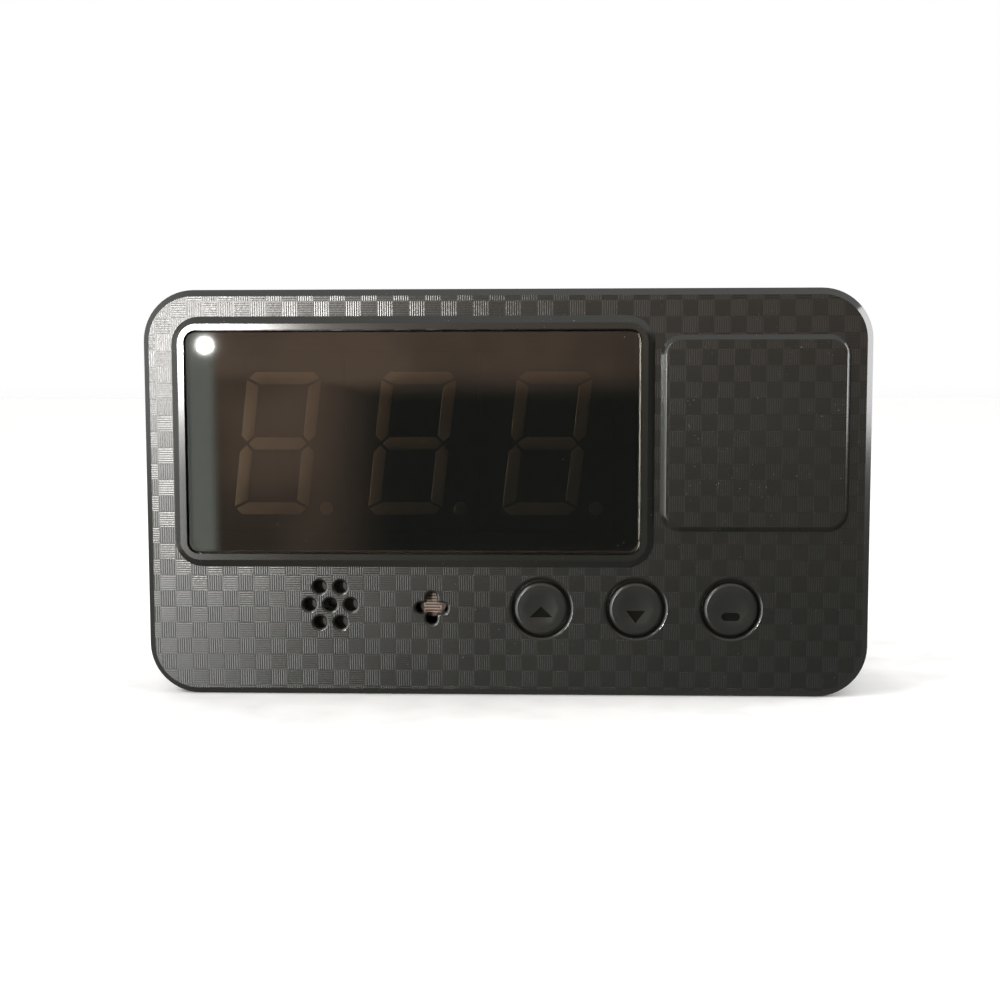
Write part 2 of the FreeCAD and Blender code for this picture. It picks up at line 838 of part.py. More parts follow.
def make_rear_cover():
    """The rear half of the case, which carries the mounting inserts."""
    body = new_body("rear_cover")
    wall = cell("case_wall")
    shell = pad(body, case_outline(body, REAR, as_size(0)), SPLIT - REAR)
    rounded = dress("Fillet", body, shell, cell("rear_round"), lambda edge: lies_at(edge, REAR))
    dress("Chamfer", body, rounded, cell("seam_chamfer"), lambda edge: lies_at(edge, SPLIT))
    pocket(body, case_outline(body, SPLIT, wall), SPLIT - REAR - wall)
    lip_inside = wall
    pad(body, case_band(body, SPLIT, lip_inside - cell("lip_thickness"), lip_inside), cell("lip_height"))
    inside = REAR + wall
    pad(body, circles(body, boss_places(), inside, cell("tube_radius")), SPLIT - inside)
    pocket(body, circles(body, boss_places(), SPLIT, cell("tube_hole")), SPLIT - REAR)
    pocket(body, circles(body, boss_places(), screw_seat(), cell("tube_sink")), cell("tube_sink_depth"))
    depth = cell("mount_boss_depth")
    pad(body, circles(body, mount_places(), inside, cell("mount_boss")), depth - wall)
    hole = cell("insert_radius") + cell("screw_slack")
    deep = cell("insert_sunk") + cell("insert_length")
    pocket(body, circles(body, mount_places(), REAR + deep, hole), deep)
    cut_vents(body)
    gap = cell("socket_gap")
    opening = rounded_outline(
        body, cell("socket_x"), cell("socket_z"), inside,
        cell("socket_width") + 2 * gap, cell("socket_height") + 2 * gap, cell("socket_corner") + gap,
    )
    pocket(body, opening, wall)
    recess = cell("label_recess")
    sunk = rounded_outline(
        body, cell("label_x"), MIDDLE, REAR + recess,
        cell("label_width"), cell("label_height"), cell("label_corner"),
    )
    pocket(body, sunk, recess)


def make_lens():
    """The smoked lens, and the tape that holds it and reaches in past the window to mask the digits' edges."""
    x, z = cell("lens_x"), cell("lens_z")
    back = RIM - cell("lens_sunk") - cell("lens_thickness")
    body = new_body("display_lens")
    outline = rounded_outline(body, x, z, back, cell("lens_width"), cell("lens_height"), cell("lens_corner"))
    sheet = pad(body, outline, cell("lens_thickness"))
    front = back + cell("lens_thickness")
    dress("Chamfer", body, sheet, cell("lens_edge"), lambda edge: lies_at(edge, front))

    body = new_body("lens_tape")
    inset = cell("tape_inset")
    outer = (cell("lens_width") - 2 * inset, cell("lens_height") - 2 * inset, cell("lens_corner") - inset)
    reach = cell("tape_reach")
    inner = (cell("window_width") - 2 * reach, cell("window_height") - 2 * reach, cell("tape_corner"))
    sketch = ring_outline(body, x, z, back - cell("tape_thickness"), outer, inner)
    pad(body, sketch, cell("tape_thickness"))


def make_label():
    """The blank rating label on the rear cover."""
    body = new_body("rating_label")
    gap = cell("label_gap")
    outline = rounded_outline(
        body, cell("label_x"), MIDDLE, REAR + cell("label_recess") - cell("label_sheet"),
        cell("label_width") - 2 * gap, cell("label_height") - 2 * gap, cell("label_corner") - gap,
    )
    pad(body, outline, cell("label_sheet"))


# ---------------------------------------------------------------- digits

def stroke_outlines():
    """The corners of the seven strokes of a digit before it is slanted, about the digit's centre."""
    stroke, gap = CELLS["stroke"], CELLS["stroke_gap"]
    half_w, half_h = CELLS["glyph_width"] / 2, CELLS["glyph_height"] / 2
    inner = half_w - stroke
    nick = stroke / 2
    outlines = []
    for side in (1, -1):
        # The top and base strokes, wide on the outside and mitred towards the inside.
        outlines.append([
            (-half_w + nick + gap, side * half_h), (half_w - nick - gap, side * half_h),
            (half_w - gap, side * (half_h - nick)),
            (inner - gap, side * (half_h - stroke)), (-inner + gap, side * (half_h - stroke)),
            (-half_w + gap, side * (half_h - nick)),
        ])
    outlines.append([
        (-half_w + nick + gap, 0), (-inner + gap, nick), (inner - gap, nick),
        (half_w - nick - gap, 0), (inner - gap, -nick), (-inner + gap, -nick),
    ])
    for side_x in (1, -1):
        for side_z in (1, -1):
            outlines.append([
                (side_x * half_w, side_z * (half_h - nick - gap)),
                (side_x * inner, side_z * (half_h - stroke - gap)),
                (side_x * inner, side_z * (nick + gap)),
                (side_x * (half_w - nick), side_z * gap),
                (side_x * half_w, side_z * (nick + gap)),
            ])
    return outlines


def make_strokes(x, z, label):
    """The clear bars of one digit and its point, as separate solids."""
    slant = math.tan(math.radians(CELLS["glyph_slant"]))
    back = FreeCAD.Vector(0, CELLS["stroke_depth"], 0)
    y = -CELLS["digit_forward"]
    solids = []
    for outline in stroke_outlines():
        corners = [FreeCAD.Vector(x + u + v * slant, y, z + v) for u, v in outline]
        face = Part.Face(Part.makePolygon(corners + corners[:1]))
        solids.append(face.extrude(back))
    centre = FreeCAD.Vector(x + CELLS["point_x"], y, z - CELLS["point_drop"])
    solids.append(Part.makeCylinder(CELLS["point_radius"], back.Length, centre, back))
    strokes = doc.addObject("Part::Feature", f"{label}_shape")
    strokes.Shape = Part.makeCompound(solids)
    return keep(strokes, label)


def make_digits():
    """Three digit modules: a block with wells, the bars that fill the wells, and the pins."""
    front = cell("digit_forward")
    for name, (x, z) in zip(DIGITS, digit_places()):
        strokes = make_strokes(x.value, z.value, f"digit_{name}_segments")
        body = block(x, z, front, cell("digit_width"), cell("digit_height"), front - BOARD)
        keep(cut(body, strokes), f"digit_{name}_housing")
        pins = [
            rod(px, pz, BOARD, cell("digit_pin"), BOARD - PIN_ENDS) for px, pz in digit_pin_places(x, z)
        ]
        keep(group(pins), f"digit_{name}_pins")


# ---------------------------------------------------------------- board

def make_board():
    """The circuit board, notched round the case's screw tubes and drilled for every pin."""
    body = new_body("circuit_board")
    outline = rounded_outline(
        body, 0, MIDDLE, BOARD_BACK, cell("board_width"), cell("board_height"), cell("board_corner"),
    )
    pad(body, outline, cell("board_thickness"))
    room = cell("pin_room")
    digit_pins = [place for x, z in digit_places() for place in digit_pin_places(x, z)]
    legs = [place for x, z in key_places() for place in switch_leg_places(x, z)]
    drillings = (
        (boss_places(), cell("board_notch")),
        (post_places(), cell("board_screw_hole")),
        (digit_pins, cell("digit_pin") + room),
        (legs, cell("switch_leg_width") / 2 + room),
        (buzzer_pin_places(), cell("buzzer_pin") + room),
        (sensor_lead_places(), cell("sensor_lead") + room),
        (socket_pin_places(), cell("socket_pin") * 0.75 + room),
    )
    for places, radius in drillings:
        pocket(body, circles(body, places, BOARD, radius), cell("board_thickness"))


def make_buzzer():
    """The buzzer behind the sound holes, with its coil and diaphragm."""
    x, z = cell("buzzer_x"), cell("buzzer_z")
    radius, wall = cell("buzzer_radius"), cell("buzzer_wall")
    top = BOARD + cell("buzzer_height")
    floor = BOARD + cell("buzzer_base")
    ledge = BOARD + cell("buzzer_ledge") + cell("diaphragm_sheet")
    disc = rod(x, z, floor, radius, cell("buzzer_base"))
    core = rod(x, z, floor + cell("buzzer_coil_height"), cell("buzzer_core"), cell("buzzer_coil_height"))
    keep(join([disc, core]), "buzzer_base")
    coil = rod(x, z, floor + cell("buzzer_coil_height") - 0.2, cell("buzzer_coil"),
               cell("buzzer_coil_height") - 0.2)
    bore = rod(x, z, floor + cell("buzzer_coil_height"), cell("buzzer_core") + cell("screw_slack"),
               cell("buzzer_coil_height"))
    keep(cut(coil, bore), "buzzer_coil")
    plate = rod(x, z, ledge, radius - wall - 0.05, cell("diaphragm_sheet"))
    weight_top = ledge + cell("diaphragm_weight_height")
    weight = rod(x, z, weight_top, cell("diaphragm_weight"), cell("diaphragm_weight_height"))
    keep(join([plate, weight]), "buzzer_diaphragm")
    outside = rod(x, z, top, radius, top - floor)
    hollow = join([
        rod(x, z, ledge, radius - wall, ledge - floor),
        rod(x, z, top - wall, radius - 2 * wall, top - wall - floor),
        rod(x, z, top, cell("buzzer_port"), 2 * wall),
    ])
    keep(cut(outside, hollow), "buzzer_shell")
    pins = [rod(px, pz, BOARD, cell("buzzer_pin"), BOARD - PIN_ENDS) for px, pz in buzzer_pin_places()]
    keep(group(pins), "buzzer_pins")


def make_light_sensor():
    """The light sensor: a ceramic disc, the zigzag track on its face, and its leads."""
    x, z = cell("sensor_x"), cell("sensor_z") + cell("sensor_lift")
    front, thickness = cell("sensor_forward"), cell("sensor_thickness")
    keep(rod(x, z, front, cell("sensor_radius"), thickness), "light_sensor_disc")
    length, width, pitch = cell("track_length"), cell("track_width"), cell("track_pitch")
    sheet = cell("track_sheet")
    runs = []
    for i in range(TRACK_LINES):
        level = z + (i - (TRACK_LINES - 1) / 2) * pitch
        runs.append(block(x, level, front + sheet, length, width, sheet))
        if i < TRACK_LINES - 1:
            side = SIDES[i % 2]
            turn_x = x + side * (length - width) / 2
            runs.append(block(turn_x, level + pitch / 2, front + sheet, width, pitch + width, sheet))
    keep(join(runs), "light_sensor_track")
    back = front - thickness
    leads = [rod(px, pz, back, cell("sensor_lead"), back - PIN_ENDS) for px, pz in sensor_lead_places()]
    keep(group(leads), "light_sensor_leads")


def make_switch(name, x, z):
    """A push switch: base, cover plate, snap dome, plunger and legs."""
    side, height = cell("switch_side"), cell("switch_height")
    top = BOARD + height
    floor = BOARD + cell("switch_floor")
    well = rod(x, z, top, cell("switch_well"), height - cell("switch_floor"))
    keep(cut(block(x, z, top, side, side, height), well), f"switch_{name}_base")
    cover_top = top + cell("switch_cover")
    plate = block(x, z, cover_top, side, side, cell("switch_cover"))
    stem = cell("plunger_radius")
    hole = rod(x, z, cover_top, stem + cell("plunger_room"), cell("switch_cover"))
    keep(cut(plate, hole), f"switch_{name}_cover")

    rise, sheet = cell("dome_rise"), cell("dome_sheet")
    wide, narrow = cell("dome_radius"), cell("dome_top")
    outside = cone(x, z, floor + rise, narrow, wide, rise)
    inside = cone(x, z, floor + rise - sheet, narrow - sheet, wide - 2 * sheet, rise - sheet)
    keep(cut(outside, inside), f"switch_{name}_dome")

    flange_top = top - cell("plunger_gap")
    nub_top = flange_top - cell("plunger_flange_thickness")
    plunger_top = BOARD + cell("plunger_height")
    keep(join([
        rod(x, z, plunger_top, stem, plunger_top - flange_top),
        rod(x, z, flange_top, cell("plunger_flange"), cell("plunger_flange_thickness")),
        rod(x, z, nub_top, cell("plunger_nub"), cell("plunger_nub_length")),
    ]), f"switch_{name}_plunger")

    leg_top = BOARD + cell("switch_leg_rise")
    legs = [
        block(px, pz, leg_top, cell("switch_leg"), cell("switch_leg_width"), leg_top - PIN_ENDS)
        for px, pz in switch_leg_places(x, z)
    ]
    keep(group(legs), f"switch_{name}_legs")


def icon_tool(name, x, z, front, depth):
    """The solid that engraves a key's symbol below its middle: a triangle up or down, or a bar."""
    if name == "set":
        half = (cell("bar_length") - cell("bar_width")) / 2
        radius = cell("bar_width") / 2
        middle = z - cell("bar_low")
        ends = [rod(x + side * half, middle, front, radius, depth) for side in SIDES]
        return join(ends + [block(x, middle, front, 2 * half, cell("bar_width"), depth)])
    half = cell(f"{name}_width") / 2
    height = cell(f"{name}_height")
    item = doc.addObject("Part::Wedge", name_for("triangle"))
    bind(item, "Xmin", -half)
    bind(item, "Xmax", half)
    item.X2min = 0
    item.X2max = 0
    item.Ymin = 0
    bind(item, "Ymax", height)
    item.Zmin = 0
    item.Z2min = 0
    bind(item, "Zmax", depth)
    bind(item, "Z2max", depth)
    base = z - cell(f"{name}_low")
    if name == "up":
        item.Placement.Rotation = FreeCAD.Rotation(FreeCAD.Vector(1, 0, 0), 90)
        place(item, x, front - depth, base)
    else:
        item.Placement.Rotation = FreeCAD.Rotation(FreeCAD.Vector(1, 0, 0), -90)
        place(item, x, front, base + height)
    return item


def make_key(name, x, z):
    """A key cap with a round edge, a dished top, an engraved symbol, a flange and a tab."""
    front = FACE + cell("cap_proud")
    flange_top = WALL_INSIDE - cell("flange_gap")
    flange_back = flange_top - cell("flange_thickness")
    foot_back = BOARD + cell("plunger_height")
    button = rod(x, z, front, cell("cap_radius"), front - flange_top)
    doc.recompute()
    rounded = doc.addObject("Part::Fillet", name_for("round"))
    rounded.Base = button
    edge = [i for i, e in enumerate(button.Shape.Edges, start=1) if lies_at(e, front)][0]
    rounded.Edges = [(edge, CELLS["cap_round"], CELLS["cap_round"])]
    tab_height = cell("cap_tab_reach") - cell("flange_radius") / 2
    tab_z = z - cell("flange_radius") / 2 - tab_height / 2
    whole = join([
        rounded,
        rod(x, z, flange_top, cell("flange_radius"), cell("flange_thickness")),
        block(x, tab_z, flange_top, cell("cap_tab_width"), tab_height, cell("flange_thickness")),
        rod(x, z, flange_back, cell("cap_foot"), flange_back - foot_back),
    ])
    dish = doc.addObject("Part::Sphere", name_for("dish"))
    depth, reach = cell("cap_dish_depth"), cell("cap_dish")
    ball = (reach * reach + depth * depth) / (2 * depth)
    bind(dish, "Radius", ball)
    place(dish, x, front - depth + ball, z)
    dished = cut(whole, dish)
    symbol = icon_tool(name, x, z, front, depth + cell("icon_depth"))
    keep(cut(dished, symbol), f"key_{name}_cap")


def make_keys():
    for name, (x, z) in zip(KEYS, key_places()):
        make_switch(name, x, z)
        make_key(name, x, z)


def make_socket():
    """The socket for the supply and the distance signal, with its six contacts."""
    x, z, wall = cell("socket_x"), cell("socket_z"), cell("socket_wall")
    width, height, corner = cell("socket_width"), cell("socket_height"), cell("socket_corner")
    mouth = REAR + cell("socket_sunk")
    body = new_body("socket_shell")
    pad(body, rounded_outline(body, x, z, mouth, width, height, corner), BOARD_BACK - mouth)
    floor = BOARD_BACK - cell("socket_floor")
    inside = rounded_outline(body, x, z, floor, width - 2 * wall, height - 2 * wall, corner / 2)
    pocket(body, inside, floor - mouth)
    notch_z = z + (height - wall) / 2
    notch = rounded_outline(
        body, x, notch_z, floor, cell("socket_key_width"), wall * 2, 0.2,
    )
    pocket(body, notch, floor - mouth)
    pin = cell("socket_pin")
    drilled = circles(body, socket_pin_places(), BOARD_BACK, pin * 0.75)
    pocket(body, drilled, cell("socket_floor"))
    tip = floor - cell("socket_pin_reach")
    pins = [
        block(px, pz, BOARD + cell("pin_reach"), pin, pin, BOARD + cell("pin_reach") - tip)
        for px, pz in socket_pin_places()
    ]
    keep(group(pins), "socket_pins")


def legs_along(x, z, count, pitch, reach, upright):
    """A row of small flat legs, centred on x and z; upright rows run along Z."""
    legs = []
    for i in range(count):
        step = (i - (count - 1) / 2) * pitch
        if upright:
            size = (reach, cell("leg_width"))
            legs.append(block(x, z + step, BOARD_BACK, *size, cell("leg_sheet")))
        else:
            size = (cell("leg_width"), reach)
            legs.append(block(x + step, z, BOARD_BACK, *size, cell("leg_sheet")))
    return legs


def make_chips():
    """The controller and the display driver, with their legs."""
    reach, sheet = cell("leg_reach"), cell("leg_sheet")
    x, z, side = cell("controller_x"), cell("controller_z"), cell("controller_side")
    keep(block(x, z, BOARD_BACK - sheet / 2, side, side, cell("controller_height")), "controller_chip")
    out = (side + reach) / 2
    pitch = cell("controller_leg_pitch")
    legs = []
    for s in SIDES:
        legs += legs_along(x + s * out, z, CONTROLLER_LEGS_A_SIDE, pitch, reach, True)
        legs += legs_along(x, z + s * out, CONTROLLER_LEGS_A_SIDE, pitch, reach, False)
    keep(group(legs), "controller_legs")

    x, z = cell("driver_x"), cell("driver_z")
    width, length = cell("driver_width"), cell("driver_length")
    keep(block(x, z, BOARD_BACK - sheet / 2, width, length, cell("driver_height")), "driver_chip")
    out = (width + reach) / 2
    legs = []
    for s in SIDES:
        legs += legs_along(x + s * out, z, DRIVER_LEGS_A_SIDE, cell("driver_leg_pitch"), reach, True)
    keep(group(legs), "driver_legs")


def make_power_parts():
    """The regulator, power coil, filter capacitors, diode and crystal."""
    x, z = cell("regulator_x"), cell("regulator_z")
    width, length = cell("regulator_width"), cell("regulator_length")
    keep(block(x, z, BOARD_BACK, width, length, cell("regulator_height")), "regulator_body")
    tab_reach, leg_reach = cell("regulator_tab_reach"), cell("regulator_leg_reach")
    tab = block(x, z + (length + tab_reach) / 2, BOARD_BACK, cell("regulator_tab_width"), tab_reach,
                cell("leg_sheet") * 2.5)
    legs = [
        block(x + s * cell("regulator_leg_spread"), z - (length + leg_reach) / 2, BOARD_BACK,
              cell("regulator_leg_width"), leg_reach, cell("leg_sheet") * 2)
        for s in SIDES
    ]
    keep(group([tab] + legs), "regulator_leads")

    x, z, side = cell("coil_x"), cell("coil_z"), cell("coil_side")
    height, rim = cell("coil_height"), cell("coil_rim_depth")
    dent = rod(x, z, BOARD_BACK - height + rim, cell("coil_rim"), rim)
    knob = rod(x, z, BOARD_BACK - height + rim, cell("coil_rim") - 0.6, rim)
    keep(cut(block(x, z, BOARD_BACK, side, side, height), cut(dent, knob)), "power_coil")

    x, z, pitch = cell("can_x"), cell("can_z"), cell("can_pitch")
    base_side, base_height = cell("can_base_side"), cell("can_base_height")
    bases, cans = [], []
    for i in range(2):
        level = z + i * pitch
        bases.append(block(x, level, BOARD_BACK, base_side, base_side, base_height))
        cans.append(rod(x, level, BOARD_BACK - base_height, cell("can_radius"),
                        cell("can_height") - base_height))
    keep(group(bases), "capacitor_bases")
    keep(group(cans), "filter_capacitors")
    keep(block(cell("diode_x"), cell("diode_z"), BOARD_BACK, cell("diode_width"), cell("diode_depth"),
               cell("diode_height")), "protection_diode")
    keep(block(cell("crystal_x"), cell("crystal_z"), BOARD_BACK, cell("crystal_width"),
               cell("crystal_depth"), cell("crystal_height")), "clock_crystal")


def make_small_chips():
    """The chip resistors in a row, and the chip capacitors beside the controller."""
    length, width, height = cell("chip_length"), cell("chip_width"), cell("chip_height")
    pitch = cell("chip_pitch")
    x, z = cell("resistor_x"), cell("resistor_z")
    resistors = [block(x + i * pitch, z, BOARD_BACK, width, length, height) for i in range(RESISTORS)]
    keep(group(resistors), "chip_resistors")
    x, z = cell("capacitor_x"), cell("capacitor_z")
    capacitors = [
        block(x, z + i * pitch, BOARD_BACK, length, width, height) for i in range(CAPACITORS)
    ]
    keep(group(capacitors), "chip_capacitors")


# ---------------------------------------------------------------- fasteners

def make_screw(x, z, seat, radius, length, head_radius, head_height):
    """A pan head screw with a cross recess; its head lies behind the seat and its shank in front."""
    whole = join([
        rod(x, z, seat, head_radius, head_height),
        rod(x, z, seat + length, radius, length),
    ])
    back = seat - head_height + cell("recess_depth")
    long_side, short_side, deep = cell("recess_length"), cell("recess_width"), cell("recess_depth")
    cross = join([
        block(x, z, back, long_side, short_side, deep),
        block(x, z, back, short_side, long_side, deep),
    ])
    return cut(whole, cross)


def make_fasteners():
    """The four case screws, the four board screws and the four threaded inserts."""
    case_screws = [
        make_screw(x, z, screw_seat(), cell("case_screw"), cell("case_screw_length"),
                   cell("case_screw_head"), cell("case_screw_head_height"))
        for x, z in boss_places()
    ]
    keep(group(case_screws), "case_screws")
    board_screws = [
        make_screw(x, z, BOARD_BACK, cell("board_screw"), cell("board_screw_length"),
                   cell("board_screw_head"), cell("board_screw_head_height"))
        for x, z in post_places()
    ]
    keep(group(board_screws), "board_screws")

    length, band = cell("insert_length"), cell("insert_band")
    front = REAR + cell("insert_sunk") + length
    inserts = []
    for x, z in mount_places():
        barrel = join([
            rod(x, z, front, cell("insert_groove"), length),
            rod(x, z, front, cell("insert_radius"), band),
            rod(x, z, front - length + band, cell("insert_radius"), band),
        ])
        inserts.append(cut(barrel, rod(x, z, front, cell("insert_bore"), length)))
    keep(group(inserts), "mount_inserts")


# ---------------------------------------------------------------- checks and export

def check_document():
    """Stops if an object of the document failed, or a sub-part isn't made of valid solids."""
    doc.recompute()
    for item in doc.Objects:
        if {"Invalid", "Error"} & set(item.State):
            raise RuntimeError(f"{item.Name} ({item.Label}) failed: {item.State}")
    for label, item in nodes.items():
        shape = item.Shape
        if shape.isNull() or not shape.isValid() or not shape.Solids:
            raise RuntimeError(f"{label} has no valid solid")


def export_parts():
    """Writes every sub-part to its own STEP file."""
    os.makedirs("parts", exist_ok=True)
    for label, item in nodes.items():
        item.Shape.exportStep(os.path.join("parts", f"{label}.step"))


def main():
    make_sheet()
    make_front_case()
    make_rear_cover()
    make_lens()
    make_label()
    make_digits()
    make_board()
    make_buzzer()
    make_light_sensor()
    make_keys()
    make_socket()
    make_chips()
    make_power_parts()
    make_small_chips()
    make_fasteners()
    check_document()
    export_parts()
    print(f"{len(nodes)} sub-parts")


main()
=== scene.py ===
"""A slim black taxi meter with three digits behind a smoked lens, dressed and lit for a studio picture.

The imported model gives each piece's shape, size and place. This script gives the pieces their finishes, and
models afresh the ones whose small forms show: the screws, the inserts, the light sensor and the contacts.
"""

from __future__ import annotations

import json
import logging
import math
from collections.abc import Callable, Sequence
from dataclasses import dataclass, field
from enum import Enum

import bpy
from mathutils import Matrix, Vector

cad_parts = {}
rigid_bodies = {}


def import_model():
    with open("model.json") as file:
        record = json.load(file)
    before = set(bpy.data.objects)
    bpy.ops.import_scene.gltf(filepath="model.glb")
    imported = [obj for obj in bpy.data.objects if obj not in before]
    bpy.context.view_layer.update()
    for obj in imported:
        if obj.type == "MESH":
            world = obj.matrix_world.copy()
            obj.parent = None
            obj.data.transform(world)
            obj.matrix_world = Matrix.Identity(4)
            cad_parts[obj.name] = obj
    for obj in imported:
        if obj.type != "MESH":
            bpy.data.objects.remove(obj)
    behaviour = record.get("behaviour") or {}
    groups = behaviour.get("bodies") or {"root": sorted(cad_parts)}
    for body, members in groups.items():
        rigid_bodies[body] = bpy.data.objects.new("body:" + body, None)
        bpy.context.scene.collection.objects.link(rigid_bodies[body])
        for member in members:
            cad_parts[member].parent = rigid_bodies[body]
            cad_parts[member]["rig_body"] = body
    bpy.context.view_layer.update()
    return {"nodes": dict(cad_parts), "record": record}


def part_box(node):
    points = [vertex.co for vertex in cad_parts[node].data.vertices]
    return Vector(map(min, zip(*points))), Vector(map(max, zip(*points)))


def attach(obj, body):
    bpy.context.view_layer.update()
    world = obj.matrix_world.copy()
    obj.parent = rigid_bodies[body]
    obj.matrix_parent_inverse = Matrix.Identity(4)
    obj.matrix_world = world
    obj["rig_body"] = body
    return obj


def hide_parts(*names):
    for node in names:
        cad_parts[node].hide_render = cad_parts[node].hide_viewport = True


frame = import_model()

LOG = logging.getLogger("taxi_meter")
MM = 0.001
DIGITS = ("left", "middle", "right")
KEYS = ("up", "down", "set")
POINT_MARK = "point"
Colour = tuple[float, float, float]
Span = tuple[float, float]
Profile = Sequence[tuple[float, float]]


class Setting(Enum):
    """The surface coordinates that a pattern can follow."""

    OBJECT = "Object"
    DIRECTION = "Generated"


# ---------------------------------------------------------------- shader maths


class Wire:
    """One output of a shader node. Python's operators on it add Math nodes."""

    def __init__(self, shader: Shader, socket: bpy.types.NodeSocket) -> None:
        """Keeps the shader that the socket belongs to.

        Args:
            shader: The shader whose tree holds the socket.
            socket: The output socket.
        """
        self.shader = shader
        self.socket = socket

    def maths(self, operation: str, *others: Wire | float) -> Wire:
        """Adds a Math node with this value first.

        Args:
            operation: The Math node's operation.
            others: The values that follow this one.

        Returns:
            The node's result.
        """
        return self.shader.maths(operation, self, *others)

    def __add__(self, other: Wire | float) -> Wire:
        """This plus other."""
        return self.maths("ADD", other)

    __radd__ = __add__

    def __sub__(self, other: Wire | float) -> Wire:
        """This less other."""
        return self.maths("SUBTRACT", other)

    def __rsub__(self, other: float) -> Wire:
        """Other less this."""
        return self.shader.maths("SUBTRACT", other, self)

    def __mul__(self, other: Wire | float) -> Wire:
        """This times other."""
        return self.maths("MULTIPLY", other)

    __rmul__ = __mul__

    def __truediv__(self, other: Wire | float) -> Wire:
        """This over other."""
        return self.maths("DIVIDE", other)

    def __gt__(self, other: Wire | float) -> Wire:
        """1 where this is more than other, and 0 elsewhere."""
        return self.maths("GREATER_THAN", other)

    def __lt__(self, other: Wire | float) -> Wire:
        """1 where this is less than other, and 0 elsewhere."""
        return self.maths("LESS_THAN", other)

    def ramp(self, low: float, high: float) -> Wire:
        """A smooth step from 0 at low to 1 at high.

        Args:
            low: The value where the step begins.
            high: The value where it ends.

        Returns:
            The step.
        """
        settings = {"interpolation_type": "SMOOTHSTEP"}
        inputs = {"Value": self, "From Min": low, "From Max": high}
        return self.shader.node("ShaderNodeMapRange", settings, inputs)


class Shader:
    """A node tree that is built up by method calls."""

    def __init__(self, tree: bpy.types.NodeTree) -> None:
        """Empties the tree."""
        self.tree = tree
        tree.nodes.clear()

    def node(
        self,
        kind: str,
        settings: dict[str, object] | None = None,
        inputs: dict[str | int, object] | None = None,
        output: str | int = 0,
    ) -> Wire:
        """Adds a node.

        Args:
            kind: The node's type.
            settings: Its settings, set first.
            inputs: Values or wires for its input sockets, by name or number.
            output: The output wanted, by name or number.

        Returns:
            That output.
        """
        made = self.tree.nodes.new(kind)
        for name, value in (settings or {}).items():
            setattr(made, name, value)
        for name, value in (inputs or {}).items():
            if isinstance(value, Wire):
                self.tree.links.new(value.socket, made.inputs[name])
            else:
                made.inputs[name].default_value = value
        return Wire(self, made.outputs[output])

    def maths(self, operation: str, *values: Wire | float) -> Wire:
        """A Math node on those values."""
        return self.node("ShaderNodeMath", {"operation": operation}, dict(enumerate(values)))

    def place(self, setting: Setting = Setting.OBJECT) -> Wire:
        """The coordinates of the point that is shaded."""
        return self.node("ShaderNodeTexCoord", output=setting.value)

    def split(self, vector: Wire) -> tuple[Wire, Wire, Wire]:
        """A vector's X, Y and Z.

        Args:
            vector: The vector.

        Returns:
            Its three parts.
        """
        first = self.node("ShaderNodeSeparateXYZ", inputs={0: vector})
        outputs = first.socket.node.outputs
        return tuple(Wire(self, outputs[axis]) for axis in "XYZ")

    def scaled(self, vector: Wire, scale: Sequence[float]) -> Wire:
        """A vector with each axis scaled by its own factor."""
        return self.node("ShaderNodeVectorMath", {"operation": "MULTIPLY"}, {0: vector, 1: tuple(scale)})

    def noise(self, grain: float, detail: float = 2.0, stretch: Sequence[float] = (1, 1, 1)) -> Wire:
        """Noise about 0.5.

        Args:
            grain: The size of its features, in metres.
            detail: How many finer octaves it has.
            stretch: A factor for each axis, below 1 to stretch the features along it.

        Returns:
            The noise.
        """
        where = self.scaled(self.place(), stretch)
        return self.node("ShaderNodeTexNoise", None, {"Vector": where, "Scale": 1 / grain, "Detail": detail})

    def mix(self, factor: Wire | float, low: Wire | Colour, high: Wire | Colour) -> Wire:
        """A colour from low, where factor is 0, to high, where it is 1.

        Args:
            factor: How far towards high.
            low: The colour at 0.
            high: The colour at 1.

        Returns:
            The mixed colour.
        """
        ends = [end if isinstance(end, Wire) else (*end, 1.0) for end in (low, high)]
        inputs = {"Factor": factor, 6: ends[0], 7: ends[1]}
        return self.node("ShaderNodeMix", {"data_type": "RGBA"}, inputs, 2)

    def finish(self, kind: str, surface: Wire) -> None:
        """Ends the tree in an output node of that kind."""
        self.tree.links.new(surface.socket, self.tree.nodes.new(kind).inputs["Surface"])

    def bump(self, height: Wire, depth: float, under: Wire | None = None) -> Wire:
        """A normal for a relief.

        Args:
            height: The relief, from 0 to 1.
            depth: How deep 1 is, in metres.
            under: The normal that the relief starts from.

        Returns:
            The normal.
        """
        inputs = {"Height": height, "Distance": depth, "Strength": 1.0}
        if under is not None:
            inputs["Normal"] = under
        return self.node("ShaderNodeBump", None, inputs)


# ---------------------------------------------------------------- finishes


@dataclass(frozen=True)
class Finish:
    """What a surface is made of. Each kind paints its own colour, gloss and relief."""

    colour: Colour = (0.03, 0.03, 0.03)
    roughness: float = 0.5

    def paint(self, shader: Shader) -> dict[str, object]:
        """Values or wires for the Principled shader's sockets."""
        return {"Base Color": (*self.colour, 1.0), "Roughness": self.roughness}

    def material(self, name: str) -> bpy.types.Material:
        """Builds the finish as a material.

        Args:
            name: The material's name.

        Returns:
            The material.
        """
        made = bpy.data.materials.new(name)
        made.use_nodes = True
        shader = Shader(made.node_tree)
        surface = shader.node("ShaderNodeBsdfPrincipled", inputs=self.paint(shader))
        shader.finish("ShaderNodeOutputMaterial", surface)
        return made


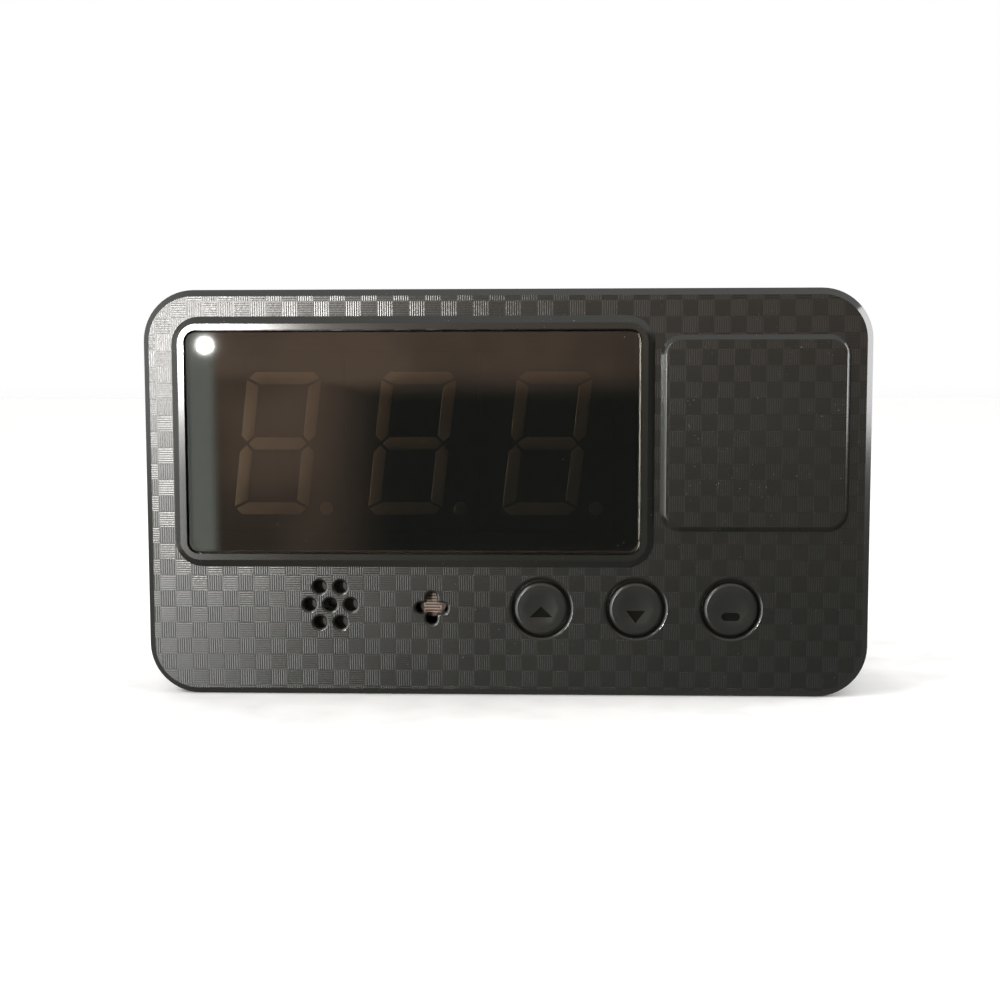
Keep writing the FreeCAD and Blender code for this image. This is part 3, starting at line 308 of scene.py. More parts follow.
@dataclass(frozen=True)
class Moulded(Finish):
    """Moulded plastic: faint clouds of colour, a fine grain, and uneven gloss."""

    grain: float = 0.22 * MM
    depth: float = 0.004 * MM
    unevenness: float = 0.10

    def paint(self, shader: Shader) -> dict[str, object]:
        """Colour with faint clouds, uneven gloss and a moulded grain.

        Args:
            shader: The shader to add nodes to.

        Returns:
            Values or wires for the Principled shader's sockets.
        """
        clouds = shader.noise(9 * MM, 3.0)
        pale = tuple(c * 1.35 + 0.004 for c in self.colour)
        gloss = (clouds - 0.5) * (2 * self.unevenness) + self.roughness
        relief = shader.bump(shader.noise(self.grain, 2.0), self.depth)
        return {"Base Color": shader.mix(clouds, self.colour, pale), "Roughness": gloss, "Normal": relief}


@dataclass(frozen=True)
class KeyPlastic(Moulded):
    """Satin plastic of the keys, with painted shade on the floor of the engraved symbols."""

    painted_shade_colour: Colour = (0.012, 0.012, 0.011)
    floor_roughness: float = 0.75
    floor_start: float = 0.35 * MM
    floor_end: float = 1.0 * MM
    flat_limit: float = -0.99

    def paint(self, shader: Shader) -> dict[str, object]:
        """The satin plastic, with painted shade on the floor of the symbols: dark and dull.

        Args:
            shader: The shader to add nodes to.

        Returns:
            Values or wires for the Principled shader's sockets.
        """
        inputs = super().paint(shader)
        y = shader.split(shader.place())[1]
        facing = shader.split(shader.node("ShaderNodeNewGeometry", output="True Normal"))[1]
        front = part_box("key_up_cap")[0][1]
        shaded_floor = (facing < self.flat_limit) * (y > front + self.floor_start) * (y < front + self.floor_end)
        # Painted shade: the flat floor of each engraved symbol is coloured near black, standing in for the
        # shadow in the deep recess.
        inputs["Base Color"] = shader.mix(shaded_floor, inputs["Base Color"], self.painted_shade_colour)
        inputs["Roughness"] = inputs["Roughness"] * (1 - shaded_floor) + shaded_floor * self.floor_roughness
        # The shaded floor is made metallic so that it gives back only its painted near-black shade, where the
        # real floor is the cap's own plastic in shadow.
        inputs["Metallic"] = shaded_floor
        return inputs


@dataclass(frozen=True)
class WovenShell(Finish):
    """Black shell whose flat face has squares of fine lines, upright and level by turns, the upright squares
    with a painted sheen and the line valleys with painted shade.
    """

    colour: Colour = (0.0105, 0.0108, 0.0094)
    upright_sheen_colour: Colour = (0.018, 0.018, 0.0168)
    valley_shade_colour: Colour = (0.003, 0.003, 0.003)
    dust_colour: Colour = (0.22, 0.21, 0.19)
    roughness: float = 0.19
    smooth_roughness: float = 0.14
    square_width: float = 2.797 * MM
    square_height: float = 2.842 * MM
    first_x: float = -61.58 * MM
    first_z: float = 1.70 * MM
    pad_shift: float = 0.62 * MM
    lines: int = 7
    line_depth: float = 0.0115 * MM
    seam_share: float = 0.022
    rim_clear: float = 0.1 * MM
    pad_clear: float = 0.6 * MM
    flat_limit: float = -0.999
    wear_grain: float = 0.5 * MM
    skin_grain: float = 0.16 * MM
    skin_depth: float = 0.0016 * MM
    cloud_size: float = 14 * MM
    dust_grain: float = 0.32 * MM
    dust_patch: float = 6 * MM

    def paint(self, shader: Shader) -> dict[str, object]:
        """The woven face with its painted sheen and painted shade, the smooth borders, and a little dust.

        Args:
            shader: The shader to add nodes to.

        Returns:
            Values or wires for the Principled shader's sockets.
        """
        x, y, z = shader.split(shader.place())
        rim = frame_front() + self.rim_clear
        on_pad = (x > 0.0) * (y < frame_front() + self.pad_clear)
        across = (x - on_pad * self.pad_shift - self.first_x) / self.square_width
        up = (z - self.first_z) / self.square_height
        column, row = across.maths("FLOOR"), up.maths("FLOOR")
        along_x, along_z = across - column, up - row
        upright = ((column + row) * 0.5).maths("FRACT") * 2.0
        upright = upright > 0.5

        turn = 2 * math.pi * self.lines
        level_lines = (along_z * turn).maths("COSINE")
        upright_lines = (along_x * turn).maths("COSINE")
        wear = shader.noise(self.wear_grain, 2.0) * 1.2 + 0.2
        lines = (level_lines * (1 - upright) + upright_lines * upright) * wear
        edge_x = (along_x - 0.5).maths("ABSOLUTE")
        edge_z = (along_z - 0.5).maths("ABSOLUTE")
        seam = edge_x.maths("MAXIMUM", edge_z) > 0.5 - self.seam_share
        weave = (lines * 0.5 + 0.5) * (1 - seam)

        facing = shader.split(shader.node("ShaderNodeNewGeometry", output="True Normal"))[1]
        woven = (facing < self.flat_limit) * (y > rim)

        clouds = shader.noise(self.cloud_size, 3.0)
        dusty = shader.noise(self.dust_patch).ramp(0.42, 0.62)
        dust = shader.noise(self.dust_grain, 1.0).ramp(0.74, 0.80) * dusty
        pale = tuple(c * 1.45 for c in self.colour)
        body = shader.mix(clouds, self.colour, pale)
        # Painted sheen: the upright squares are coloured lighter, standing in for how their lines catch the
        # light.
        body = shader.mix(upright * woven, body, self.upright_sheen_colour)
        # Painted shade: the valleys between the lines are coloured darker.
        valley_shaded = shader.mix((1 - weave) * woven * 0.6, body, self.valley_shade_colour)
        relief = shader.bump(shader.noise(self.skin_grain, 2.0), self.skin_depth)
        relief = shader.bump(weave * woven, self.line_depth, relief)
        gloss = self.smooth_roughness + woven * (self.roughness - self.smooth_roughness)
        gloss = gloss - 0.025 + clouds * 0.05 + dust * 0.3 + (1 - weave) * woven * 0.05
        return {
            "Base Color": shader.mix(dust * 0.5, valley_shaded, self.dust_colour),
            "Roughness": gloss,
            "Normal": relief,
        }


@dataclass(frozen=True)
class SmokedAcrylic(Finish):
    """Brown-tinted clear sheet, polished, with a few specks of dust."""

    colour: Colour = (0.56, 0.51, 0.44)
    roughness: float = 0.012
    speck_colour: Colour = (0.9, 0.88, 0.84)
    speck_grain: float = 0.35 * MM
    speck_patch: float = 5 * MM
    refraction: float = 1.49

    def paint(self, shader: Shader) -> dict[str, object]:
        """A clear tinted body, with specks that are pale and dull.

        Args:
            shader: The shader to add nodes to.

        Returns:
            Values or wires for the Principled shader's sockets.
        """
        patch = shader.noise(self.speck_patch).ramp(0.52, 0.66)
        speck = shader.noise(self.speck_grain, 1.0).ramp(0.80, 0.84) * patch
        return {
            "Base Color": shader.mix(speck, self.colour, self.speck_colour),
            "Roughness": speck * 0.5 + self.roughness,
            "Transmission Weight": 1.0,
            "IOR": self.refraction,
        }


@dataclass(frozen=True)
class Resin(Finish):
    """Tinted resin of an unlit display bar: dark, polished, and cloudy where its diffuser settled."""

    colour: Colour = (0.015, 0.0105, 0.008)
    roughness: float = 0.14
    shine: Colour = (1.0, 0.86, 0.70)
    point_colour: Colour = (0.004, 0.0035, 0.003)
    point_roughness: float = 0.04

    def paint(self, shader: Shader) -> dict[str, object]:
        """Cloudy colour with a warm gloss, darker and clearer on the decimal point.

        Args:
            shader: The shader to add nodes to.

        Returns:
            Values or wires for the Principled shader's sockets.
        """
        clouds = shader.noise(1.6 * MM, 3.0)
        deep = tuple(c * 0.7 for c in self.colour)
        relief = shader.bump(shader.noise(0.8 * MM), 0.004 * MM)
        point = shader.node("ShaderNodeAttribute", {"attribute_name": POINT_MARK}, output="Fac")
        return {
            "Base Color": shader.mix(point, shader.mix(clouds, deep, self.colour), self.point_colour),
            "Roughness": point * (self.point_roughness - self.roughness) + self.roughness,
            "Specular IOR Level": 1.0,
            "Specular Tint": (*self.shine, 1.0),
            "Normal": relief,
        }


@dataclass(frozen=True)
class DeepBlack(Finish):
    """Flat black moulding that hides what is behind a lens."""

    colour: Colour = (0.003, 0.003, 0.003)
    roughness: float = 0.7
    specular: float = 0.05
    relief: float = 0.001 * MM

    def paint(self, shader: Shader) -> dict[str, object]:
        """Near-black colour with hardly any gloss.

        Args:
            shader: The shader to add nodes to.

        Returns:
            Values or wires for the Principled shader's sockets.
        """
        clouds = shader.noise(3 * MM, 2.0)
        relief = shader.bump(shader.noise(0.2 * MM), self.relief)
        return {
            "Base Color": shader.mix(clouds, self.colour, tuple(c * 1.6 for c in self.colour)),
            "Roughness": self.roughness,
            "Specular IOR Level": self.specular,
            "Normal": relief,
        }


@dataclass(frozen=True)
class Metal(Finish):
    """Metal with fine drawing marks along one axis."""

    colour: Colour = (0.7, 0.7, 0.68)
    roughness: float = 0.3
    marks: Colour = (1.0, 0.06, 1.0)

    def paint(self, shader: Shader) -> dict[str, object]:
        """Marks that vary the gloss, and a stain that dulls it in places.

        Args:
            shader: The shader to add nodes to.

        Returns:
            Values or wires for the Principled shader's sockets.
        """
        lines = shader.noise(0.09 * MM, 2.0, self.marks)
        stain = shader.noise(2.5 * MM, 3.0).ramp(0.45, 0.75)
        dull = tuple(c * 0.6 for c in self.colour)
        gloss = lines * 0.16 + self.roughness - 0.08 + stain * 0.15
        return {"Base Color": shader.mix(stain * 0.6, self.colour, dull), "Metallic": 1.0,
                "Roughness": gloss, "Normal": shader.bump(lines, 0.0015 * MM)}


@dataclass(frozen=True)
class Ceramic(Finish):
    """Fired or sintered body with a speckled, slightly pitted skin."""

    colour: Colour = (0.2, 0.2, 0.2)
    roughness: float = 0.6

    def paint(self, shader: Shader) -> dict[str, object]:
        """Speckled colour with fine pits.

        Args:
            shader: The shader to add nodes to.

        Returns:
            Values or wires for the Principled shader's sockets.
        """
        specks = shader.noise(0.12 * MM, 3.0)
        dark = tuple(c * 0.6 for c in self.colour)
        return {"Base Color": shader.mix(specks, dark, self.colour), "Roughness": self.roughness,
                "Normal": shader.bump(specks, 0.008 * MM)}


@dataclass(frozen=True)
class SolderMask(Finish):
    """Green lacquer over copper tracks that show as a paler, raised maze."""

    colour: Colour = (0.01, 0.09, 0.035)
    roughness: float = 0.25
    track_colour: Colour = (0.035, 0.2, 0.08)
    track_pitch: float = 1.27 * MM
    track_height: float = 0.03 * MM
    half_track: float = 0.16

    def paint(self, shader: Shader) -> dict[str, object]:
        """Tracks along X or Z in patches, paler and raised.

        Args:
            shader: The shader to add nodes to.

        Returns:
            Values or wires for the Principled shader's sockets.
        """
        x, _, z = shader.split(shader.place())
        patch = shader.noise(11 * MM, 0.0) > 0.5
        lane = (x * patch + z * (1 - patch)) / self.track_pitch
        track = (lane.maths("FRACT") - 0.5).maths("ABSOLUTE") < self.half_track
        copper = track * shader.noise(7 * MM, 0.0).ramp(0.44, 0.48)
        relief = shader.bump(copper, self.track_height)
        return {"Base Color": shader.mix(copper, self.colour, self.track_colour),
                "Roughness": self.roughness, "Normal": relief}


@dataclass(frozen=True)
class BlankLabel(Finish):
    """Satin label with a printed border and three empty rules."""

    colour: Colour = (0.62, 0.62, 0.60)
    roughness: float = 0.42
    centre_x: float = -42.0 * MM
    centre_z: float = 36.0 * MM
    half_width: float = 12.2 * MM
    half_height: float = 16.2 * MM
    line: float = 0.22 * MM
    ink_colour: Colour = (0.05, 0.05, 0.055)

    def paint(self, shader: Shader) -> dict[str, object]:
        """The paper's fibres, with the border and rules in dark ink.

        Args:
            shader: The shader to add nodes to.

        Returns:
            Values or wires for the Principled shader's sockets.
        """
        x, _, z = shader.split(shader.place())
        out_x = (x - self.centre_x).maths("ABSOLUTE") - self.half_width
        out_z = (z - self.centre_z).maths("ABSOLUTE") - self.half_height
        inside = (out_x < 0.0) * (out_z < 0.0)
        border = (out_x.maths("MAXIMUM", out_z).maths("ABSOLUTE")) < self.line
        spacing = self.half_height / 2
        rule = (((z - self.centre_z) / spacing).maths("FRACT") - 0.5).maths("ABSOLUTE") * spacing
        rules = (rule > spacing / 2 - self.line / 2) * inside
        ink = border.maths("MAXIMUM", rules)
        fibres = shader.noise(0.25 * MM, 3.0)
        paper = shader.mix(fibres, tuple(c * 0.9 for c in self.colour), self.colour)
        return {"Base Color": shader.mix(ink, paper, self.ink_colour), "Roughness": self.roughness,
                "Normal": shader.bump(fibres, 0.004 * MM)}


FINISHES: dict[str, Finish] = {
    "black_case": WovenShell(),
    "black_cover": Moulded((0.0115, 0.0118, 0.0105), 0.42, grain=0.3 * MM, depth=0.009 * MM),
    "smoked_lens": SmokedAcrylic(),
    "black_foam": DeepBlack(),
    "digit_black": DeepBlack(),
    "led_resin": Resin(),
    "black_key": KeyPlastic(
        (0.0095, 0.0098, 0.0088), 0.22, grain=0.12 * MM, depth=0.001 * MM, unevenness=0.05,
    ),
    "switch_black": Moulded((0.02, 0.02, 0.021), 0.45),
    "switch_steel": Metal((0.6, 0.6, 0.59), 0.28),
    "tinned_metal": Metal(),
    "green_laminate": SolderMask(),
    "chip_epoxy": Moulded((0.02, 0.02, 0.022), 0.55, grain=0.1 * MM),
    "ferrite": Ceramic((0.06, 0.06, 0.065)),
    "can_aluminium": Metal((0.78, 0.78, 0.79), 0.34),
    "base_black": Moulded((0.02, 0.02, 0.02), 0.5),
    "crystal_can": Metal((0.72, 0.72, 0.71), 0.22),
    "resistor_ceramic": Ceramic((0.035, 0.035, 0.04), 0.4),
    "capacitor_ceramic": Ceramic((0.42, 0.29, 0.17), 0.4),
    "buzzer_black": Moulded((0.015, 0.015, 0.015), 0.4),
    "copper_wire": Metal((0.72, 0.33, 0.17), 0.35),
    "diaphragm_steel": Metal((0.5, 0.5, 0.5), 0.3),
    "sensor_ceramic": Ceramic((0.045, 0.018, 0.013), 0.45),
    "sensor_track": Ceramic((0.42, 0.29, 0.22), 0.45),
    "socket_white": Moulded((0.62, 0.59, 0.5), 0.45, grain=0.5 * MM),
    "screw_steel": Metal((0.10, 0.10, 0.105), 0.35),
    "insert_brass": Metal((0.78, 0.56, 0.25), 0.28),
    "label_paper": BlankLabel(),
}


def frame_front() -> float:
    """The Y of the display frame's rim, the foremost plane of the case."""
    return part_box("front_case")[0][1]


class Wardrobe:
    """Holds one material for each finish and gives it to pieces."""

    def __init__(self) -> None:
        """Builds every finish once, and finds each node's slot."""
        self.materials = {slot: finish.material(slot) for slot, finish in FINISHES.items()}
        self.slots = {entry["node"]: entry["material_slot"] for entry in frame["record"]["subparts"]}

    def dress(self, piece: bpy.types.Object, slot: str) -> None:
        """Gives the piece that slot's material, and nothing else."""
        piece.data.materials.clear()
        piece.data.materials.append(self.materials[slot])

    def stand_in(self, piece: bpy.types.Object, node: str) -> None:
        """Makes a piece take the place of a CAD node.

        Args:
            piece: The finished piece.
            node: The node that it stands for.
        """
        slot = self.slots[node]
        self.dress(piece, slot)
        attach(piece, frame["nodes"][node]["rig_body"])
        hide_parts(node)
        LOG.info("%s stands for %s, in %s", piece.name, node, slot)


# ---------------------------------------------------------------- modelling by operators


def pick(piece: bpy.types.Object) -> None:
    """Selects the piece alone, and makes it the active one.

    Args:
        piece: The piece.
    """
    bpy.ops.object.select_all(action="DESELECT")
    piece.select_set(True)
    bpy.context.view_layer.objects.active = piece


def finish_modifier(piece: bpy.types.Object, kind: str, **settings: object) -> None:
    """Adds a modifier to the piece and applies it.

    Args:
        piece: The piece.
        kind: The modifier's type.
        settings: The modifier's settings.
    """
    pick(piece)
    modifier = piece.modifiers.new(kind.title(), kind)
    for name, value in settings.items():
        setattr(modifier, name, value)
    bpy.ops.object.modifier_apply(modifier=modifier.name)


def smooth(piece: bpy.types.Object, angle: float = 32.0) -> None:
    """Shades the piece smooth, with its flats kept flat.

    Args:
        piece: The piece.
        angle: The widest angle between faces that is shaded smooth, in degrees.
    """
    pick(piece)
    bpy.ops.object.shade_smooth_by_angle(angle=math.radians(angle))
    finish_modifier(piece, "WEIGHTED_NORMAL", keep_sharp=True, weight=60)


def skin_of(node: str, bevel: float = 0.0) -> bpy.types.Object:
    """Copies a CAD node's mesh as one closed, smoothly shaded piece.

    Args:
        node: The node to copy.
        bevel: The width of a bevel on its sharp edges, in metres, or 0 for none.

    Returns:
        The new piece.
    """
    piece = bpy.data.objects.new(f"{node}_skin", frame["nodes"][node].data.copy())
    bpy.context.scene.collection.objects.link(piece)
    pick(piece)
    bpy.ops.mesh.customdata_custom_splitnormals_clear()
    bpy.ops.object.mode_set(mode="EDIT")
    bpy.ops.mesh.select_all(action="SELECT")
    bpy.ops.mesh.remove_doubles(threshold=0.0005 * MM)
    bpy.ops.mesh.dissolve_limited(angle_limit=math.radians(0.05))
    bpy.ops.object.mode_set(mode="OBJECT")
    if bevel:
        finish_modifier(piece, "BEVEL", width=bevel, segments=2, limit_method="ANGLE",
                        angle_limit=math.radians(40), use_clamp_overlap=True)
    smooth(piece)
    return piece


def turned(name: str, centre: Vector, profile: Profile, sides: int = 48) -> bpy.types.Object:
    """Turns a closed solid about an axis along Y, by extruding and scaling a disc.

    Args:
        name: The piece's name.
        centre: A point on the axis, where the profile's depth is 0.
        profile: The radius and the depth along Y at each step, from one end to the other.
        sides: How many sides the disc has.

    Returns:
        The piece, with its place in its mesh.
    """
    radius, depth = profile[0]
    bpy.ops.object.select_all(action="DESELECT")
    bpy.ops.mesh.primitive_circle_add(
        vertices=sides, radius=radius, fill_type="NGON", rotation=(math.pi / 2, 0, 0),
        location=centre + Vector((0, depth, 0)),
    )
    piece = bpy.context.object
    piece.name = name
    bpy.ops.object.transform_apply(location=True, rotation=True, scale=True)
    bpy.ops.object.mode_set(mode="EDIT")
    bpy.ops.mesh.select_all(action="SELECT")
    for next_radius, next_depth in profile[1:]:
        step = (0, next_depth - depth, 0)
        bpy.ops.mesh.extrude_region_move(TRANSFORM_OT_translate={"value": step})
        share = next_radius / radius
        middle = centre + Vector((0, next_depth, 0))
        bpy.ops.transform.resize(value=(share, 1, share), center_override=middle)
        radius, depth = next_radius, next_depth
    bpy.ops.mesh.select_all(action="SELECT")
    bpy.ops.mesh.normals_make_consistent(inside=False)
    bpy.ops.object.mode_set(mode="OBJECT")
    return piece


def bar(name: str, centre: Vector, size: Vector, bevel: float, segments: int = 3) -> bpy.types.Object:
    """Models a bar with rounded edges.

    Args:
        name: The piece's name.
        centre: Its middle.
        size: Its three sizes.
        bevel: The radius of its edges.
        segments: How many steps round an edge.

    Returns:
        The piece, with its place in its mesh.
    """
    bpy.ops.object.select_all(action="DESELECT")
    bpy.ops.mesh.primitive_cube_add(size=1, location=centre)
    piece = bpy.context.object
    piece.name = name
    piece.scale = size
    bpy.ops.object.transform_apply(location=True, rotation=True, scale=True)
    bpy.ops.object.mode_set(mode="EDIT")
    bpy.ops.mesh.select_all(action="SELECT")
    bpy.ops.mesh.bevel(offset=bevel, segments=segments, affect="EDGES")
    bpy.ops.object.mode_set(mode="OBJECT")
    return piece


def joined(name: str, pieces: Sequence[bpy.types.Object]) -> bpy.types.Object:
    """Joins pieces into one object.

    Args:
        name: The joined object's name.
        pieces: The pieces.

    Returns:
        The joined object.
    """
    pick(pieces[0])
    for piece in pieces:
        piece.select_set(True)
    bpy.ops.object.join()
    pieces[0].name = name
    return pieces[0]


def carved(piece: bpy.types.Object, cutter: bpy.types.Object) -> None:
    """Cuts the cutter's shape out of the piece, and removes the cutter."""
    finish_modifier(piece, "BOOLEAN", object=cutter, operation="DIFFERENCE", solver="EXACT")
    bpy.data.objects.remove(cutter, do_unlink=True)


def islands(node: str) -> list[tuple[Vector, Vector]]:
    """The box of each separate solid of a node, from left to right and low to high.

    Args:
        node: A node that is a group of solids.

    Returns:
        The lowest and highest corner of each.
    """
    mesh = frame["nodes"][node].data
    keys = [tuple(round(c, 6) for c in v.co) for v in mesh.vertices]
    parent: dict[tuple[float, ...], tuple[float, ...]] = {key: key for key in keys}

    def root(key: tuple[float, ...]) -> tuple[float, ...]:
        """The corner that stands for this one's solid.

        Args:
            key: A corner.

        Returns:
            The corner that its solid is known by.
        """
        while parent[key] != key:
            parent[key] = parent[parent[key]]
            key = parent[key]
        return key

    for edge in mesh.edges:
        first, second = (root(keys[i]) for i in edge.vertices)
        parent[first] = second
    solids: dict[tuple[float, ...], list[tuple[float, ...]]] = {}
    for key in set(keys):
        solids.setdefault(root(key), []).append(key)
    boxes = [
        tuple(Vector(extreme(p[i] for p in points) for i in range(3)) for extreme in (min, max))
        for points in solids.values()
    ]
    return sorted(boxes, key=lambda box: (round(box[0].x, 4), round(box[0].z, 4)))


# ---------------------------------------------------------------- sub-assemblies


@dataclass
class Casing:
    """The two halves of the case, the lens and the keys: the CAD forms with their curves shaded smooth."""

    wardrobe: Wardrobe
    shells: tuple[str, ...] = ("front_case", "rear_cover", "display_lens")

    def build(self) -> None:
        """Makes each shell and each key cap."""
        for node in self.shells:
            self.wardrobe.stand_in(skin_of(node), node)
        for key in KEYS:
            node = f"key_{key}_cap"
            self.wardrobe.stand_in(skin_of(node), node)


@dataclass
class Display:
    """The three digit modules and the masking tape behind the lens."""

    wardrobe: Wardrobe
    bar_edge: float = 0.10 * MM
    tape_edge: float = 0.04 * MM
    tape_gap: float = 0.03 * MM

    def build(self) -> None:
        """Makes the bars of each digit with softened edges, in their black blocks, and the tape."""
        for digit in DIGITS:
            node = f"digit_{digit}_segments"
            bars = skin_of(node, self.bar_edge)
            self.mark_point(bars, node)
            self.wardrobe.stand_in(bars, node)
        self.tape()

    def mark_point(self, bars: bpy.types.Object, node: str) -> None:
        """Marks the decimal point, the smallest solid of the node, for the resin's paint.

        Args:
            bars: The digit's bars and point.
            node: The node that they stand for.
        """
        low, high = min(islands(node), key=lambda box: (box[1] - box[0]).length)
        mark = bars.data.attributes.new(POINT_MARK, "FLOAT", "POINT")
        for vertex in bars.data.vertices:
            spans = zip(low, vertex.co, high)
            inside = all(least - self.bar_edge < at < most + self.bar_edge for least, at, most in spans)
            mark.data[vertex.index].value = float(inside)

    def tape(self) -> None:
        """Makes the tape, with its front face a hair's breadth behind the lens so that both faces show."""
        node = "lens_tape"
        low, high = (Vector(corner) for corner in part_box(node))
        thinner = 1 - self.tape_gap / (high.y - low.y)
        tape = skin_of(node, self.tape_edge)
        for vertex in tape.data.vertices:
            vertex.co.y = high.y + (vertex.co.y - high.y) * thinner
        self.wardrobe.stand_in(tape, node)


@dataclass
class LightSensor:
    """The light sensor: a disc with a rounded track that runs to and fro across its face."""

    wardrobe: Wardrobe
    lines: int = 7
    track_width: float = 0.26 * MM
    rim: float = 0.25 * MM

    def build(self) -> None:
        """Makes the disc and the track."""
        self.disc("light_sensor_disc")
        self.track("light_sensor_track")

    def disc(self, node: str) -> None:
        """Makes the disc with rounded rims.

        Args:
            node: The node that it stands for.
        """
        low, high = (Vector(corner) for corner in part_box(node))
        radius = (high.x - low.x) / 2
        centre = Vector(((low.x + high.x) / 2, low.y, (low.z + high.z) / 2))
        depth = high.y - low.y
        profile = [
            (radius - self.rim, 0.0), (radius - self.rim * 0.3, self.rim * 0.3), (radius, self.rim),
            (radius, depth - self.rim), (radius - self.rim, depth),
        ]
        disc = turned(f"{node}_round", centre, profile)
        smooth(disc)
        self.wardrobe.stand_in(disc, node)

    def track(self, node: str) -> None:
        """Makes the track from level runs that are joined by turns at alternate ends.

        Args:
            node: The node that it stands for.
        """
        low, high = (Vector(corner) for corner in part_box(node))
        sheet = high.y - low.y
        middle = (low + high) / 2
        pitch = (high.z - low.z - self.track_width) / (self.lines - 1)
        length = high.x - low.x
        runs = []
        for i in range(self.lines):
            level = low.z + self.track_width / 2 + i * pitch
            place = Vector((middle.x, middle.y, level))
            runs.append(bar("run", place, Vector((length, sheet, self.track_width)), sheet * 0.45))
            if i < self.lines - 1:
                side = 1 if i % 2 else -1
                end = Vector((middle.x + side * (length - self.track_width) / 2, middle.y, level + pitch / 2))
                size = Vector((self.track_width, sheet * 0.98, pitch))
                runs.append(bar("turn", end, size, sheet * 0.4))
        track = joined(f"{node}_round", runs)
        smooth(track)
        self.wardrobe.stand_in(track, node)


@dataclass
class Fasteners:
    """Screws with domed heads and cross recesses, and grooved inserts."""

    wardrobe: Wardrobe
    recess_length: float = 2.5 * MM
    recess_width: float = 0.55 * MM
    threads: int = 9
    root_share: float = 0.86
    case_head: float = 1.8 * MM
    board_head: float = 1.5 * MM
    bore: float = 1.65 * MM
    bore_lip: float = 0.3 * MM
    bore_rings: int = 8
    insert_edge: float = 0.15 * MM

    def screw(self, name: str, box: tuple[Vector, Vector], head_height: float) -> bpy.types.Object:
        """Makes one screw that points towards the display.

        Args:
            name: Its name.
            box: Its lowest and highest corner.
            head_height: The height of its head.

        Returns:
            The screw.
        """
        low, high = box
        radius = (high.x - low.x) / 2
        shank = radius * 0.52
        root = shank * self.root_share
        back = Vector(((low.x + high.x) / 2, high.y, (low.z + high.z) / 2))
        length = high.y - low.y
        profile = [
            (radius * 0.55, 0.0), (radius * 0.85, -0.12 * head_height), (radius * 0.98, -0.4 * head_height),
            (radius, -0.75 * head_height), (radius * 0.97, -head_height), (root, -head_height),
        ]
        pitch = (length - head_height) / (self.threads + 1)
        for i in range(self.threads):
            start = head_height + i * pitch
            profile += [(root, -start - pitch * 0.35), (shank, -start - pitch * 0.5)]
            profile.append((root, -start - pitch * 0.65))
        profile.append((shank * 0.3, -length))
        piece = turned(name, back, profile, 32)
        recess = back - Vector((0, head_height * 0.2, 0))
        deep = head_height * 0.9
        long, narrow = self.recess_length, self.recess_width
        for size in ((long, deep, narrow), (narrow, deep, long)):
            carved(piece, bar("recess", recess, Vector(size), 0.05 * MM, 1))
        return piece

    def build(self) -> None:
        """Makes every screw and insert."""
        for node, head_height in (("case_screws", self.case_head), ("board_screws", self.board_head)):
            screws = [self.screw(node, box, head_height) for box in islands(node)]
            piece = joined(f"{node}_threaded", screws)
            smooth(piece)
            self.wardrobe.stand_in(piece, node)
        self.inserts("mount_inserts")

    def inserts(self, node: str) -> None:
        """Makes the threaded inserts, with a ringed bore and a groove round the middle.

        Args:
            node: The node that they stand for.
        """
        bore, lip = self.bore, self.bore_lip
        made = []
        for low, high in islands(node):
            radius = (high.x - low.x) / 2
            length = high.y - low.y
            back = Vector(((low.x + high.x) / 2, high.y, (low.z + high.z) / 2))
            profile = [
                (radius - self.insert_edge, 0.0), (radius, -self.insert_edge), (radius, -0.35 * length),
                (radius * 0.9, -0.38 * length), (radius * 0.9, -0.62 * length),
                (radius, -0.65 * length), (radius, -length),
            ]
            piece = turned("insert", back, profile, 40)
            hole = [(bore * 1.2, 0.01 * MM), (bore, -lip)]
            half = (length - lip) / self.bore_rings / 2
            for i in range(self.bore_rings):
                start = lip + i * half * 2
                hole += [(bore * 1.1, -start - half), (bore, -start - 2 * half)]
            hole.append((bore, -length - 0.1 * MM))
            carved(piece, turned("hole", back, hole, 32))
            made.append(piece)
        piece = joined(f"{node}_threaded", made)
        smooth(piece)
        self.wardrobe.stand_in(piece, node)


@dataclass
class Socket:
    """The supply socket with softened walls, and contacts that taper to a point."""

    wardrobe: Wardrobe
    wall_edge: float = 0.18 * MM
    contact_edge: float = 0.08 * MM
    taper: float = 0.35

    def build(self) -> None:
        """Makes the shell and the contacts."""
        self.wardrobe.stand_in(skin_of("socket_shell", self.wall_edge), "socket_shell")
        contacts = []
        for low, high in islands("socket_pins"):
            contact = bar("contact", (low + high) / 2, high - low, self.contact_edge, 2)
            pick(contact)
            bpy.ops.object.mode_set(mode="EDIT")
            bpy.ops.mesh.select_all(action="DESELECT")
            bpy.ops.object.mode_set(mode="OBJECT")
            for vertex in contact.data.vertices:
                vertex.select = vertex.co.y > high.y - 0.1 * MM
            tip = Vector(((low.x + high.x) / 2, high.y, (low.z + high.z) / 2))
            bpy.ops.object.mode_set(mode="EDIT")
            bpy.ops.transform.resize(value=(self.taper, 1, self.taper), center_override=tip)
            bpy.ops.object.mode_set(mode="OBJECT")
            contacts.append(contact)
        piece = joined("socket_pins_tapered", contacts)
        smooth(piece)
        self.wardrobe.stand_in(piece, "socket_pins")


